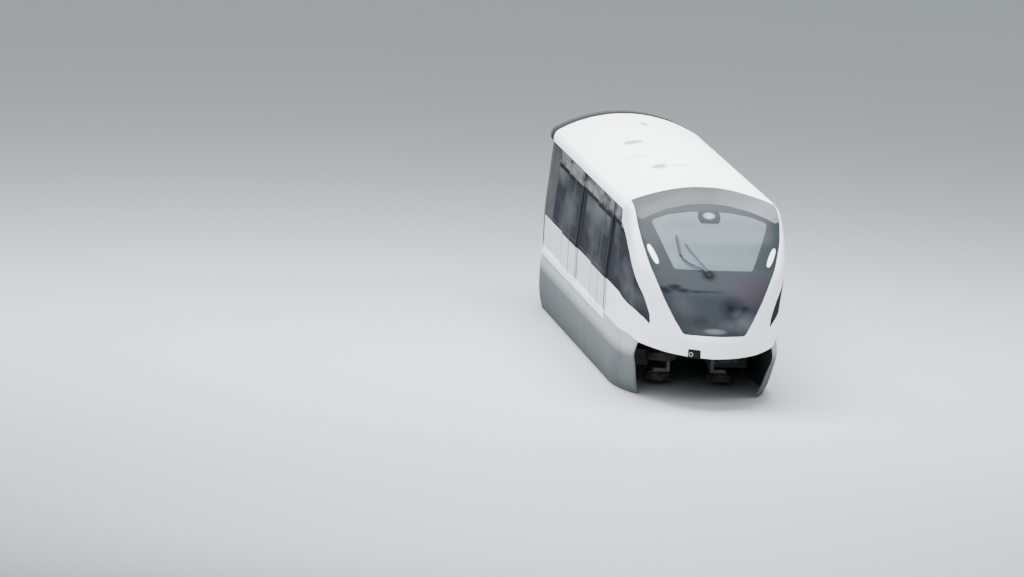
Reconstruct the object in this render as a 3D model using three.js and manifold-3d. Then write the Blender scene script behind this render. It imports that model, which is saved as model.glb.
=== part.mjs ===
// End car of a straddle monorail train, in millimetres.
// X runs across the car, Y along it with the nose at -Y, and Z is up from the beam's running surface.
// The origin lies on the beam's centreline, midway between the two bogies.
import * as THREE from 'three';
import { mergeVertices } from 'three/addons/utils/BufferGeometryUtils.js';
import Module from 'manifold-3d';

const wasm = await Module();
wasm.setup();

// Driving dimensions
const SEAT_GAP = 0.3;             // gap left between pieces that touch
const FAR = 9000;                 // reach of the blocks and prisms that only cut
const LAP = 10;                   // how far a cutting block runs past what it cuts
const BEAM_HALF = 345;            // half the width of the concrete beam
const CROWN_Z = 3110;             // top of the roof
const WALL_TOP_Z = 2500;          // top of the side walls, under the roof's rounded shoulders
const KNEE_Z = 1060;              // below this height the side walls stand upright
const WALL_BOTTOM_Z = 240;
const FLOOR_Z = 480;              // top of the cabin floor
const SKIRT_BOTTOM_Z = -980;
const WALL_HALF = 1541;           // half width over the side walls
const WALL_TOP_HALF = 1420;       // half width at the top of the walls
const SHOULDER_HALF = 1500;       // half width over the roof's shoulders
const DOOR_HALF = 1573;           // half width over the door leaves
const WALL_THICK = 55;
const NOSE_JOIN_Y = -3250;        // where the moulded nose ends, at the front doorway
const FLARE_Y = -4350;            // ahead of here the nose swells out to its hoop
const BODY_END_Y = 5450;          // rear end of the side walls
const CAR_END_Y = 5700;           // coupling plane in the middle of the gangway
const BOGIE_Y = 4400;             // distance of each bogie centre from the origin

// Body section: half width of the outer skin at a height
const ROOF_RADIUS = 2819;         // of the barrel roof between its shoulders
const SHOULDER_RADIUS = 200;
const SHOULDER_CENTRE_HALF = SHOULDER_HALF - SHOULDER_RADIUS;
const SHOULDER_ANGLE = Math.asin(SHOULDER_CENTRE_HALF / (ROOF_RADIUS - SHOULDER_RADIUS));
const SHOULDER_CENTRE_Z = CROWN_Z - ROOF_RADIUS
  + (ROOF_RADIUS - SHOULDER_RADIUS) * Math.cos(SHOULDER_ANGLE);
const LEAN = (WALL_HALF - WALL_TOP_HALF) / (WALL_TOP_Z - KNEE_Z);

function wallX(z) {
  return WALL_HALF - LEAN * Math.max(0, z - KNEE_Z);
}

// Half width of the nose where its white hoop stands out from the walls
const HOOP_TAPER = WALL_HALF - SHOULDER_HALF;

function hoopX(z) {
  const share = Math.max(0, z - KNEE_Z) / (WALL_TOP_Z - KNEE_Z);
  return WALL_HALF - HOOP_TAPER * share ** 4;
}

// Half width of the roof at a height, or of the same roof moved in by an inset
function roofX(z, inset = 0) {
  if (z <= SHOULDER_CENTRE_Z) return SHOULDER_HALF - inset;
  const onShoulder = (SHOULDER_RADIUS - inset) ** 2 - (z - SHOULDER_CENTRE_Z) ** 2;
  const shoulderTop = SHOULDER_CENTRE_Z + (SHOULDER_RADIUS - inset) * Math.cos(SHOULDER_ANGLE);
  if (z < shoulderTop) return SHOULDER_CENTRE_HALF + Math.sqrt(onShoulder);
  const drop = CROWN_Z - inset - z;
  return Math.sqrt(Math.max(0, 2 * (ROOF_RADIUS - inset) * drop - drop * drop));
}

// Skirt section below the walls, from its top edge down, as (x, z) points of the outer face
const SKIRT_LINE = [[1560, 150], [1600, -90], [1592, -560], [1560, -800], [1505, SKIRT_BOTTOM_Z]];

function skirtX(z) {
  const below = SKIRT_LINE.findIndex(([, height]) => height <= z);
  const [x1, z1] = SKIRT_LINE[below];
  const [x0, z0] = SKIRT_LINE[below - 1];
  return x1 + ((x0 - x1) * (z - z1)) / (z0 - z1);
}

function skinX(z) {
  if (z < SKIRT_LINE[0][1]) return skirtX(z);
  return z <= WALL_TOP_Z ? wallX(z) : roofX(z);
}

// Solids from closed meshes
function solidOf(geometry) {
  const bare = geometry.index ? geometry.toNonIndexed() : geometry.clone();
  bare.deleteAttribute('normal');
  bare.deleteAttribute('uv');
  const merged = mergeVertices(bare, 1e-4);
  const mesh = new wasm.Mesh({
    numProp: 3,
    vertProperties: new Float32Array(merged.attributes.position.array),
    triVerts: new Uint32Array(merged.index.array),
  });
  return new wasm.Manifold(mesh);
}

function geometryOf(solid) {
  const mesh = solid.getMesh();
  const geometry = new THREE.BufferGeometry();
  geometry.setAttribute('position', new THREE.BufferAttribute(new Float32Array(mesh.vertProperties), 3));
  geometry.setIndex(new THREE.BufferAttribute(new Uint32Array(mesh.triVerts), 1));
  geometry.computeVertexNormals();
  return geometry;
}

function joined(solids) {
  return solids.reduce((sum, solid) => sum.add(solid));
}

function box([x0, x1], [y0, y1], [z0, z1]) {
  const geometry = new THREE.BoxGeometry(x1 - x0, y1 - y0, z1 - z0);
  geometry.translate((x0 + x1) / 2, (y0 + y1) / 2, (z0 + z1) / 2);
  return solidOf(geometry);
}

function extruded(outline, length) {
  const shape = new THREE.Shape(outline.map(([a, b]) => new THREE.Vector2(a, b)));
  return new THREE.ExtrudeGeometry(shape, { depth: length, bevelEnabled: false });
}

// A prism along Y whose outline is given as (x, z) points
function prismY(outline, y0, y1) {
  const geometry = extruded(outline, y1 - y0);
  geometry.rotateX(Math.PI / 2);
  geometry.translate(0, y1, 0);
  return solidOf(geometry);
}

// A prism along X whose outline is given as (y, z) points
function prismX(outline, x0, x1) {
  const geometry = extruded(outline, x1 - x0);
  geometry.applyMatrix4(new THREE.Matrix4().set(0, 0, 1, x0, 1, 0, 0, 0, 0, 1, 0, 0, 0, 0, 0, 1));
  return solidOf(geometry);
}

function cylinder(radius, length, axis, [x, y, z], sides = 24) {
  const geometry = new THREE.CylinderGeometry(radius, radius, length, sides);
  if (axis === 'x') geometry.rotateZ(Math.PI / 2);
  if (axis === 'z') geometry.rotateX(Math.PI / 2);
  geometry.translate(x, y, z);
  return solidOf(geometry);
}

// A turned body whose profile is given as (radius, place along the axis) points
function turned(profile, axis, [x, y, z], sides) {
  const geometry = new THREE.LatheGeometry(profile.map(([r, h]) => new THREE.Vector2(r, h)), sides);
  if (axis === 'x') geometry.rotateZ(-Math.PI / 2);
  if (axis === 'z') geometry.rotateX(Math.PI / 2);
  geometry.translate(x, y, z);
  return solidOf(geometry);
}

// Closes the right half of an outline with its mirror image, sharing the points on the centreline
function mirrored(outline) {
  const other = outline.filter(([x]) => x > 0).map(([x, z]) => [-x, z]).reverse();
  return [...outline, ...other];
}

function flipped(solid) {
  return solid.mirror([1, 0, 0]);
}

// Materials
function paint(colour, roughness, metalness = 0, opacity = 1) {
  return new THREE.MeshStandardMaterial({
    color: colour, roughness, metalness, opacity, transparent: opacity < 1,
  });
}
const WHITE_PAINT = paint(0xd9dcdf, 0.35);
const ROOF_PAINT = paint(0xdfe2e4, 0.45);
const BELT_PAINT = paint(0xc8ccd0, 0.4);
const SKIRT_PAINT = paint(0x8a9294, 0.5);
const TRACK_PAINT = paint(0x9a9fa2, 0.5);
const MASK_PAINT = paint(0x565d63, 0.15);
const TINTED_GLASS = paint(0x4a4e52, 0.1, 0, 0.6);
const SCREEN_GLASS = paint(0xa8b4ba, 0.08, 0, 0.5);
const LAMP_GLASS = paint(0xf0f4f6, 0.15);
const BLACK_RUBBER = paint(0x25272a, 0.85);
const TYRE_RUBBER = paint(0x1d1e20, 0.9);
const FRAME_STEEL = paint(0x4c5156, 0.6, 0.4);
const CASE_PAINT = paint(0x6d7376, 0.55, 0.2);
const SEAT_SHELL = paint(0x4c6378, 0.5);
const RAIL_STEEL = paint(0xb9bdc0, 0.25, 0.9);
const FLOOR_GREY = paint(0x7b8083, 0.7);

const car = new THREE.Group();
function addPiece(name, solid, material) {
  const mesh = new THREE.Mesh(geometryOf(solid), material);
  mesh.name = name;
  car.add(mesh);
}

// Moulded nose: plan curves stacked up the height
// columns: height, Y of the centreline there, power of the plan curve, its depth along the car
const NOSE_ROWS = [
  [-980, -6420, 2.05, 2400],
  [-500, -6900, 2.05, 2500],
  [-140, -7380, 2.05, 2600],
  [20, -7412, 2.05, 2600],
  [160, -7440, 2.05, 2600],
  [310, -7475, 2.1, 2600],
  [560, -7380, 2.3, 2600],
  [800, -7260, 2.6, 2500],
  [1000, -7165, 2.9, 2400],
  [1200, -7055, 3.4, 2300],
  [1410, -6910, 4.2, 2200],
  [1660, -6740, 5.2, 2000],
  [1910, -6510, 6.2, 1800],
  [2160, -6280, 6.8, 1500],
  [2400, -6010, 6.6, 1350],
  [WALL_TOP_Z, -5926, 6.2, 1300],
  [WALL_TOP_Z + 5, -5921, 6.2, 1300],
  [2620, -5762, 5.4, 1300],
  [2700, -5672, 4.6, 1500],
  [2800, -5490, 4.0, 1700],
  [2890, -5315, 3.6, 1900],
  [2960, -5180, 3.3, 2000],
  [3020, -4995, 3.2, 2100],
  [3060, -4850, 3.2, 2100],
  [3090, -4670, 3.2, 2100],
  [3106, -4580, 3.2, 2100],
];
const PLAN_STEPS = 10;
const INNER_STEPS = 6;
const SLIM_HALF = 40;              // least half width of a row near the crown
const FLARE_STEP = 20;

// The space inside the nose's skin; an inset moves the skin in
function noseSolid(inset, bottomDrop = 0) {
  const steps = inset > 0 ? INNER_STEPS : PLAN_STEPS;
  const inner = NOSE_ROWS.filter(([z], i) => i % 2 === 0 && CROWN_Z - z > 0.9 * inset);
  const used = inset > 0 ? inner : NOSE_ROWS;
  const rows = used.map(([z, tip, power, depth]) => {
    const back = z > WALL_TOP_Z ? roofX(z, inset) : skinX(z) - inset;
    const half = z < KNEE_Z || z > WALL_TOP_Z ? back : hoopX(z) - inset;
    const halves = { back: Math.max(SLIM_HALF, back), half: Math.max(SLIM_HALF, half) };
    return { z, tip: tip + inset, power, depth, ...halves };
  });
  rows[0].z -= bottomDrop;
  const backY = NOSE_JOIN_Y + (inset > 0 ? 50 : 0);
  const loops = rows.map(({ z, tip, half, back, power, depth }) => {
    const side = [];
    for (let i = 1; i <= steps; i += 1) {
      const angle = (Math.PI / 2) * (i / steps);
      const x = half * Math.sin(angle) ** (2 / power);
      const y = tip + depth * (1 - Math.cos(angle) ** (2 / power));
      side.push([x, Math.min(y, FLARE_Y - FLARE_STEP), z]);
    }
    side.push([back, FLARE_Y, z], [back, backY, z]);
    const other = side.map(([x, y, h]) => [-x, y, h]).reverse();
    return [...other, [0, tip, z], ...side];
  });
  const points = loops.flat();
  const count = loops[0].length;
  const faces = [];
  for (let row = 0; row + 1 < loops.length; row += 1) {
    for (let i = 0; i < count; i += 1) {
      const a = row * count + i;
      const b = row * count + ((i + 1) % count);
      faces.push([a, b, b + count], [a, b + count, a + count]);
    }
  }
  const flat = loops[0].map(([x, y]) => new THREE.Vector2(x, y));
  for (const [a, b, c] of THREE.ShapeUtils.triangulateShape(flat, [])) {
    faces.push([c, b, a]);
  }
  const last = (loops.length - 1) * count;
  const top = loops[loops.length - 1].map(([x, y]) => new THREE.Vector2(x, y));
  for (const [a, b, c] of THREE.ShapeUtils.triangulateShape(top, [])) {
    faces.push([last + a, last + b, last + c]);
  }
  const geometry = new THREE.BufferGeometry();
  geometry.setAttribute('position', new THREE.Float32BufferAttribute(points.flat(), 3));
  geometry.setIndex(faces.flat());
  return solidOf(geometry);
}

const SHELL_THICK = 50;
const GLASS_THICK = 22;
const INNER_DROP = 60;            // the inner space runs on below the shell's lower edge
const noseOuter = noseSolid(0);
const noseShell = noseOuter.subtract(noseSolid(SHELL_THICK, INNER_DROP));
const noseGlassShell = noseOuter.subtract(noseSolid(GLASS_THICK, INNER_DROP));

// Seams of the nose, seen from the front as (x, z) points of its right half
const MASK_EDGE = [
  [0, 468], [540, 474], [625, 510], [765, 735], [875, 910], [957, 1100], [1055, 1320], [1225, 1710],
  [1300, 1950], [1345, 2120], [1383, 2330], [1400, 2510], [1405, 2700], [1405, 3200], [0, 3200],
];
const SCREEN_EDGE = [
  [0, 1650], [690, 1655], [745, 1672], [785, 1715], [1090, 2330], [1135, 2440], [1118, 2495],
  [820, 2590], [400, 2640], [0, 2652],
];
const VISOR_EDGE = [
  [0, 2775], [400, 2750], [800, 2672], [1100, 2570], [1240, 2505], [1330, 2480], [1405, 2700], [1405, 3200],
  [0, 3200],
];
const LAMP_CENTRE = [1155, 1898];
const LAMP_HALF = [56, 188];
const LAMP_TILT = (27 * Math.PI) / 180;
const LAMP_CORNERS = 12;
const FRAME_TOP_Y = -4940;        // the visor meets the roof in this upright plane
const SEAM = 0.6;                 // width of the open seam between nose panels

function lampOutline(grow) {
  const points = [];
  for (let i = 0; i < LAMP_CORNERS; i += 1) {
    const angle = (2 * Math.PI * i) / LAMP_CORNERS;
    const across = (LAMP_HALF[0] + grow) * Math.cos(angle);
    const along = (LAMP_HALF[1] + grow) * Math.sin(angle);
    points.push([
      LAMP_CENTRE[0] + across * Math.cos(LAMP_TILT) + along * Math.sin(LAMP_TILT),
      LAMP_CENTRE[1] - across * Math.sin(LAMP_TILT) + along * Math.cos(LAMP_TILT),
    ]);
  }
  return points;
}

function frontPrism(halfOutline) {
  return prismY(mirrored(halfOutline), -FAR, NOSE_JOIN_Y);
}

function grown(outline, amount) {
  const shape = outline.map(([a, b]) => new THREE.Vector2(a, b));
  const centre = shape.reduce((sum, p) => sum.add(p), new THREE.Vector2()).divideScalar(shape.length);
  return shape.map((p) => {
    const out = p.clone().sub(centre);
    const far = out.length();
    return [p.x + (out.x / far) * amount, p.y + (out.y / far) * amount];
  });
}

const maskPrism = frontPrism(MASK_EDGE);
const screenPrism = frontPrism(SCREEN_EDGE);
const widened = (outline, rise) => outline.map(([x, z]) => [x > 0 ? x + SEAM : 0, z + rise(z)]);
const screenHole = frontPrism(widened(SCREEN_EDGE, (z) => (z > 2300 ? SEAM : -SEAM)));
const visorPrism = frontPrism(VISOR_EDGE);
const visorHole = frontPrism(widened(VISOR_EDGE, () => -SEAM));
const maskHole = frontPrism(widened(MASK_EDGE, () => -SEAM));
const lampPrism = prismY(lampOutline(0), -FAR, NOSE_JOIN_Y);
const lampHole = prismY(lampOutline(SEAM), -FAR, NOSE_JOIN_Y);
const aheadOfRoof = box([-FAR, FAR], [-FAR, FRAME_TOP_Y - SEAM], [-FAR, FAR]);
const aheadOfRoofEdge = box([-FAR, FAR], [-FAR, FRAME_TOP_Y], [-FAR, FAR]);
const roofBand = box([-FAR, FAR], [-FAR, FAR], [WALL_TOP_Z + SEAT_GAP, FAR]);

// Side band of the nose, seen from the side as (y, z) points
const CAB_GLASS_EDGE = [
  [NOSE_JOIN_Y - 40, 930], [-4968, 922], [-5600, 860], [-6124, 772],
  [-6450, 672], [-6610, 592], [-6652, 640],
  [-6655, 730], [-6600, 930], [-6530, 1110], [-6400, 1310], [-6180, 1560], [-5888, 1830], [-5450, 2060],
  [-5000, 2210], [-4515, 2330], [-4100, 2420], [NOSE_JOIN_Y - 40, 2440],
];
const GLASS_INNER_X = 1000;       // the side glass lies outside this plane
const glassSide = prismX(CAB_GLASS_EDGE, GLASS_INNER_X, FAR);
const glassSideHole = prismX(grown(CAB_GLASS_EDGE, SEAM), GLASS_INNER_X, FAR);

// Lower edge of the chin, seen from the front as (x, z) points of its right half
const CHIN_EDGE = [
  [0, 30], [430, 48], [860, 80], [1100, 110], [1340, 155],
  [1450, WALL_BOTTOM_Z], [FAR, WALL_BOTTOM_Z], [FAR, FAR],
];
const chinSpace = prismY(mirrored(CHIN_EDGE), -FAR, NOSE_JOIN_Y + LAP);

const noseFrame = noseShell
  .intersect(chinSpace)
  .intersect(box([-FAR, FAR], [-FAR, NOSE_JOIN_Y - SEAT_GAP], [-FAR, WALL_TOP_Z]).add(aheadOfRoof))
  .subtract(maskHole.intersect(aheadOfRoofEdge))
  .subtract(glassSideHole)
  .subtract(flipped(glassSideHole));
addPiece('nose_frame', noseFrame, WHITE_PAINT);

const frontMask = noseShell
  .intersect(maskPrism)
  .intersect(aheadOfRoof)
  .subtract(visorHole)
  .subtract(screenHole)
  .subtract(lampHole)
  .subtract(flipped(lampHole));
addPiece('front_mask', frontMask, MASK_PAINT);
addPiece('windscreen', noseGlassShell.intersect(screenPrism).intersect(aheadOfRoof), SCREEN_GLASS);
addPiece('visor', noseShell.intersect(visorPrism).intersect(maskPrism).intersect(aheadOfRoof), MASK_PAINT);
addPiece('headlight_right', flipped(noseShell.intersect(lampPrism)), LAMP_GLASS);
addPiece('headlight_left', noseShell.intersect(lampPrism), LAMP_GLASS);
addPiece('cab_glass_left', noseGlassShell.intersect(glassSide), TINTED_GLASS);
addPiece('cab_glass_right', flipped(noseGlassShell.intersect(glassSide)), TINTED_GLASS);

// Doorways on each side
// columns: name, front edge Y, rear edge Y
const DOORWAYS = [
  ['front', NOSE_JOIN_Y, -1350],
  ['rear', 850, 2750],
];
const DOORWAY_TOP_Z = 2440;

// Side walls: on each side one leaning panel between the doorways and one behind them, each with a window
// columns: name, front edge Y, rear edge Y, the window's front and rear edges Y
const WALL_PANELS = [
  ['mid', DOORWAYS[0][2], DOORWAYS[1][1], -1190, 690],
  ['rear', DOORWAYS[1][2], BODY_END_Y, 2950, 4350],
];
const WINDOW_Z = [1010, 2330];

function wallSlab(outerGap, innerGap, z0, z1, y0, y1) {
  const heights = [z0, ...(z0 < KNEE_Z && z1 > KNEE_Z ? [KNEE_Z] : []), z1];
  const outer = heights.map((z) => [wallX(z) + outerGap, z]);
  const inner = heights.map((z) => [wallX(z) + innerGap, z]).reverse();
  return prismY([...outer, ...inner], y0, y1);
}

const PANE_GAP = 0.5;
for (const [name, y0, y1, window0, window1] of WALL_PANELS) {
  const [z0, z1] = WINDOW_Z;
  const panel = wallSlab(0, -WALL_THICK, WALL_BOTTOM_Z, WALL_TOP_Z, y0, y1)
    .subtract(box([0, FAR], [window0, window1], WINDOW_Z));
  const paneY = [window0 + PANE_GAP, window1 - PANE_GAP];
  const pane = wallSlab(0, -GLASS_THICK, z0 + PANE_GAP, z1 - PANE_GAP, ...paneY);
  addPiece(`side_wall_${name}_left`, panel, BELT_PAINT);
  addPiece(`side_wall_${name}_right`, flipped(panel), BELT_PAINT);
  addPiece(`window_${name}_left`, pane, TINTED_GLASS);
  addPiece(`window_${name}_right`, flipped(pane), TINTED_GLASS);
}

// Door tracks: the cant rail, grooved from below for the leaves' tongues, and the doorways' heads
const TRACK_Z = [2460, WALL_TOP_Z];
const TRACK_PROUD = 48;
const TRACK_FRONT_Y = FLARE_Y + 2;
const LEAF_THICK = 26;
const LEAF_CLEAR = 6;             // running gap between a leaf and the wall
const TONGUE_HALF = 5;
const GROOVE_PLAY = 0.8;
const GROOVE_DEPTH = 26;
const TONGUE_RISE = 22;           // of a tongue above its leaf
const TONGUE_END = 60;            // from a tongue's end to its leaf's edge
const LEAF_TOP_Z = TRACK_Z[0] - 5;
const TONGUE_X = wallX(LEAF_TOP_Z) + LEAF_CLEAR + LEAF_THICK / 2;
const GROOVE_HALF = TONGUE_HALF + GROOVE_PLAY;
const rail = wallSlab(TRACK_PROUD, SEAT_GAP, TRACK_Z[0], TRACK_Z[1] - SEAT_GAP, TRACK_FRONT_Y, BODY_END_Y);
const HEAD_PROUD = 2;
const heads = DOORWAYS.map(([, y0, y1]) => wallSlab(
  HEAD_PROUD, -WALL_THICK, DOORWAY_TOP_Z, WALL_TOP_Z - SEAT_GAP, y0 + SEAT_GAP, y1 - SEAT_GAP,
));
const track = joined([rail, ...heads])
  .subtract(box(
    [TONGUE_X - GROOVE_HALF, TONGUE_X + GROOVE_HALF],
    [TRACK_FRONT_Y - LAP, BODY_END_Y + LAP],
    [TRACK_Z[0] - LAP, TRACK_Z[0] + GROOVE_DEPTH],
  ));
addPiece('door_track_left', track, TRACK_PAINT);
addPiece('door_track_right', flipped(track), TRACK_PAINT);

// Sliding door leaves, hung outside the wall
const LEAF_BOTTOM_Z = 250;
const LEAF_LAP = 50;              // how far a leaf covers the wall beside its doorway
const LEAF_MEET = 3;              // half the gap between two closed leaves
const LEAF_WINDOW_Z = [1040, 2330];
const LEAF_STILE = 110;           // width of the solid edge around a leaf's window

function leaf(y0, y1) {
  const slab = wallSlab(LEAF_CLEAR + LEAF_THICK, LEAF_CLEAR, LEAF_BOTTOM_Z, LEAF_TOP_Z, y0, y1);
  const tongue = box([TONGUE_X - TONGUE_HALF, TONGUE_X + TONGUE_HALF], [y0 + TONGUE_END, y1 - TONGUE_END],
    [LEAF_TOP_Z - LAP, LEAF_TOP_Z + TONGUE_RISE]);
  const window = box([0, FAR], [y0 + LEAF_STILE, y1 - LEAF_STILE], LEAF_WINDOW_Z);
  return slab.subtract(window).add(tongue);
}

for (const [name, y0, y1] of DOORWAYS) {
  const middle = (y0 + y1) / 2;
  const leaves = [
    ['fore', y0 - LEAF_LAP, middle - LEAF_MEET],
    ['aft', middle + LEAF_MEET, y1 + LEAF_LAP],
  ];
  for (const [half, start, end] of leaves) {
    const solid = leaf(start, end);
    addPiece(`door_${name}_${half}_left`, solid, BELT_PAINT);
    addPiece(`door_${name}_${half}_right`, flipped(solid), BELT_PAINT);
  }
}

// Roof: a barrel shell with a solid eave, whose front comes out of the moulded nose
const ROOF_THICK = 70;
const ROOF_ARC_STEPS = 14;
const SHOULDER_STEPS = 4;

// Outer section of the roof from its right shoulder over the crown to its left one, moved in by an inset
function roofSection(inset) {
  const side = [];
  const centre = [SHOULDER_CENTRE_HALF, SHOULDER_CENTRE_Z];
  for (let i = 0; i < SHOULDER_STEPS; i += 1) {
    const angle = (Math.PI / 2 - SHOULDER_ANGLE) * (i / SHOULDER_STEPS);
    const radius = SHOULDER_RADIUS - inset;
    side.push([centre[0] + radius * Math.cos(angle), centre[1] + radius * Math.sin(angle)]);
  }
  const barrel = [];
  for (let i = 0; i <= ROOF_ARC_STEPS; i += 1) {
    const angle = SHOULDER_ANGLE * (1 - (2 * i) / ROOF_ARC_STEPS);
    const radius = ROOF_RADIUS - inset;
    barrel.push([radius * Math.sin(angle), CROWN_Z - ROOF_RADIUS + radius * Math.cos(angle)]);
  }
  return [...side, ...barrel, ...side.map(([x, z]) => [-x, z]).reverse()];
}

const CEILING_HALF = 1330;
const CEILING_CROWN_Z = CROWN_Z - ROOF_THICK;
const CEILING_RISE = CEILING_CROWN_Z - WALL_TOP_Z;
const CEILING_RADIUS = (CEILING_HALF ** 2 + CEILING_RISE ** 2) / (2 * CEILING_RISE);
const ceiling = [];
for (let i = 0; i <= ROOF_ARC_STEPS; i += 1) {
  const angle = Math.asin(CEILING_HALF / CEILING_RADIUS) * (1 - (2 * i) / ROOF_ARC_STEPS);
  ceiling.push([
    CEILING_RADIUS * Math.sin(angle),
    CEILING_CROWN_Z + SEAT_GAP - CEILING_RADIUS * (1 - Math.cos(angle)),
  ]);
}
const roofOutline = [
  [SHOULDER_HALF, WALL_TOP_Z + SEAT_GAP],
  ...roofSection(0),
  [-SHOULDER_HALF, WALL_TOP_Z + SEAT_GAP],
  ...ceiling.reverse(),
];
const roofMain = prismY(roofOutline, NOSE_JOIN_Y - 1, BODY_END_Y);
const roofNose = noseShell.intersect(roofBand).subtract(aheadOfRoofEdge);
addPiece('roof', roofMain.add(roofNose), ROOF_PAINT);

// Underframe: the floor slab with the door sills, and a stepped wheel housing over each bogie
const WELL_HALF = [760, 900];     // half size of a bogie well across and along the car
const HOUSING_TOP_Z = 1120;
const HOUSING_SHELF_Z = 800;      // underside of the shelves that rest on the air springs
const HOUSING_WALL = 30;
const WHEEL_BAY_HALF = 400;       // half width of the tall middle part of a housing
const FLOOR_HALF = WALL_HALF - WALL_THICK - SEAT_GAP;

function housing(centreY) {
  const along = [centreY - WELL_HALF[1], centreY + WELL_HALF[1]];
  const outer = mirrored([
    [WELL_HALF[0], FLOOR_Z - LAP],
    [WELL_HALF[0], HOUSING_SHELF_Z + HOUSING_WALL],
    [WHEEL_BAY_HALF + HOUSING_WALL, HOUSING_SHELF_Z + HOUSING_WALL],
    [WHEEL_BAY_HALF + HOUSING_WALL, HOUSING_TOP_Z],
  ]);
  const inner = mirrored([
    [WELL_HALF[0] - HOUSING_WALL, WALL_BOTTOM_Z - LAP],
    [WELL_HALF[0] - HOUSING_WALL, HOUSING_SHELF_Z],
    [WHEEL_BAY_HALF, HOUSING_SHELF_Z],
    [WHEEL_BAY_HALF, HOUSING_TOP_Z - HOUSING_WALL],
  ]);
  return {
    shell: prismY(outer, along[0], along[1]),
    space: prismY(inner, along[0] + HOUSING_WALL, along[1] - HOUSING_WALL),
  };
}

const floorMain = box([-FLOOR_HALF, FLOOR_HALF], [NOSE_JOIN_Y - 2, BODY_END_Y], [WALL_BOTTOM_Z, FLOOR_Z]);
const FLOOR_FRONT_Y = -7150;
const floorNose = noseSolid(SHELL_THICK + 1, INNER_DROP)
  .intersect(box([-FAR, FAR], [FLOOR_FRONT_Y, NOSE_JOIN_Y - 1], [WALL_BOTTOM_Z, FLOOR_Z]));
const sills = [];
for (const [, y0, y1] of DOORWAYS) {
  const sill = box([FLOOR_HALF - 1, WALL_HALF], [y0 + SEAT_GAP, y1 - SEAT_GAP], [WALL_BOTTOM_Z, FLOOR_Z]);
  sills.push(sill, flipped(sill));
}
let underframe = joined([floorMain, floorNose, ...sills]);
for (const side of [-1, 1]) {
  const { shell, space } = housing(side * BOGIE_Y);
  underframe = underframe.add(shell).subtract(space);
}
addPiece('underframe', underframe, FLOOR_GREY);

// Skirts: one long panel on each side, curving in to its lower edge and round the nose
const SKIRT_THICK = 40;
const SKIRT_LIP_Z = 190;          // underside of the bright lip along its top
const skirtOutline = [
  [DOOR_HALF, WALL_BOTTOM_Z - SEAT_GAP],
  [DOOR_HALF, SKIRT_LIP_Z],
  ...SKIRT_LINE,
  ...SKIRT_LINE.map(([x, z]) => [x - SKIRT_THICK, z]).reverse(),
  [WALL_HALF - SKIRT_THICK, WALL_BOTTOM_Z - SEAT_GAP],
];
const SKIRT_NOSE_EDGE = [
  [-6250, WALL_BOTTOM_Z - SEAT_GAP], [-6000, -300], [-5450, SKIRT_BOTTOM_Z - LAP],
  [NOSE_JOIN_Y, SKIRT_BOTTOM_Z - LAP], [NOSE_JOIN_Y, WALL_BOTTOM_Z - SEAT_GAP],
];
const SKIRT_INNER_X = 600;
const SKIRT_SEAM = 4;             // open seam between the chin and the skirts
const SKIRT_END_Y = BODY_END_Y + 60;
const skirtNose = noseShell
  .intersect(prismX(SKIRT_NOSE_EDGE, SKIRT_INNER_X, FAR))
  .subtract(chinSpace.translate([0, 0, -SKIRT_SEAM]));
const skirt = prismY(skirtOutline, NOSE_JOIN_Y - 1, SKIRT_END_Y).add(skirtNose);
addPiece('skirt_left', skirt, SKIRT_PAINT);
addPiece('skirt_right', flipped(skirt), SKIRT_PAINT);

// Rear end: the end frame around the gangway doorway, and the folded bellows behind it
const END_FRAME_THICK = 60;
const GANGWAY_HALF = 760;
const GANGWAY_TOP_Z = 2500;

function bodyOutline(inset, z0) {
  const side = [z0, KNEE_Z, WALL_TOP_Z].map((z) => [wallX(z) - inset, z]);
  side.push([SHOULDER_HALF - inset, WALL_TOP_Z + 1]);
  return [...side, ...roofSection(inset), ...side.map(([x, z]) => [-x, z]).reverse()];
}

const endFrameY = BODY_END_Y + SEAT_GAP;
const bellowsY = endFrameY + END_FRAME_THICK + SEAT_GAP;
const gangwayHole = box([-GANGWAY_HALF, GANGWAY_HALF], [BODY_END_Y - LAP, CAR_END_Y + LAP],
  [FLOOR_Z, GANGWAY_TOP_Z]);
const endFrame = prismY(bodyOutline(0, WALL_BOTTOM_Z), endFrameY, endFrameY + END_FRAME_THICK)
  .subtract(gangwayHole);
addPiece('end_frame', endFrame, BELT_PAINT);

const FOLD_COUNT = 3;
const FOLD_INSET = [8, 60];       // of a fold's crest and of its root, in from the body's outline
const FOLD_LOW_Z = [280, 330];    // lower edge of a fold's crest and of its root
const BELLOWS_WALL = 90;
const foldPitch = (CAR_END_Y - bellowsY) / FOLD_COUNT;
let bellows = prismY(bodyOutline(FOLD_INSET[1], FOLD_LOW_Z[1]), bellowsY, CAR_END_Y);
for (let i = 0; i < FOLD_COUNT; i += 1) {
  const start = bellowsY + i * foldPitch;
  const crestY = [start + 0.25 * foldPitch, start + 0.75 * foldPitch];
  const crest = prismY(bodyOutline(FOLD_INSET[0], FOLD_LOW_Z[0]), ...crestY);
  bellows = bellows.add(crest);
}
const passage = prismY(bodyOutline(FOLD_INSET[1] + BELLOWS_WALL, FLOOR_Z), bellowsY - LAP, CAR_END_Y + LAP);
bellows = bellows.subtract(passage);
addPiece('gangway_bellows', bellows, BLACK_RUBBER);

// Couplers under the floor at both ends: a bracket, a bar and a square head
const COUPLER_Z = 150;
const COUPLER_RADIUS = 50;
const BRACKET_SIZE = [360, 260];  // across and along the car
const BRACKET_BOTTOM_Z = 80;
const HEAD_HALF = [110, 65];      // half size of a coupler head across and up
const HEAD_LENGTH = 60;

function ordered(a, b) {
  return [Math.min(a, b), Math.max(a, b)];
}

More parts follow.
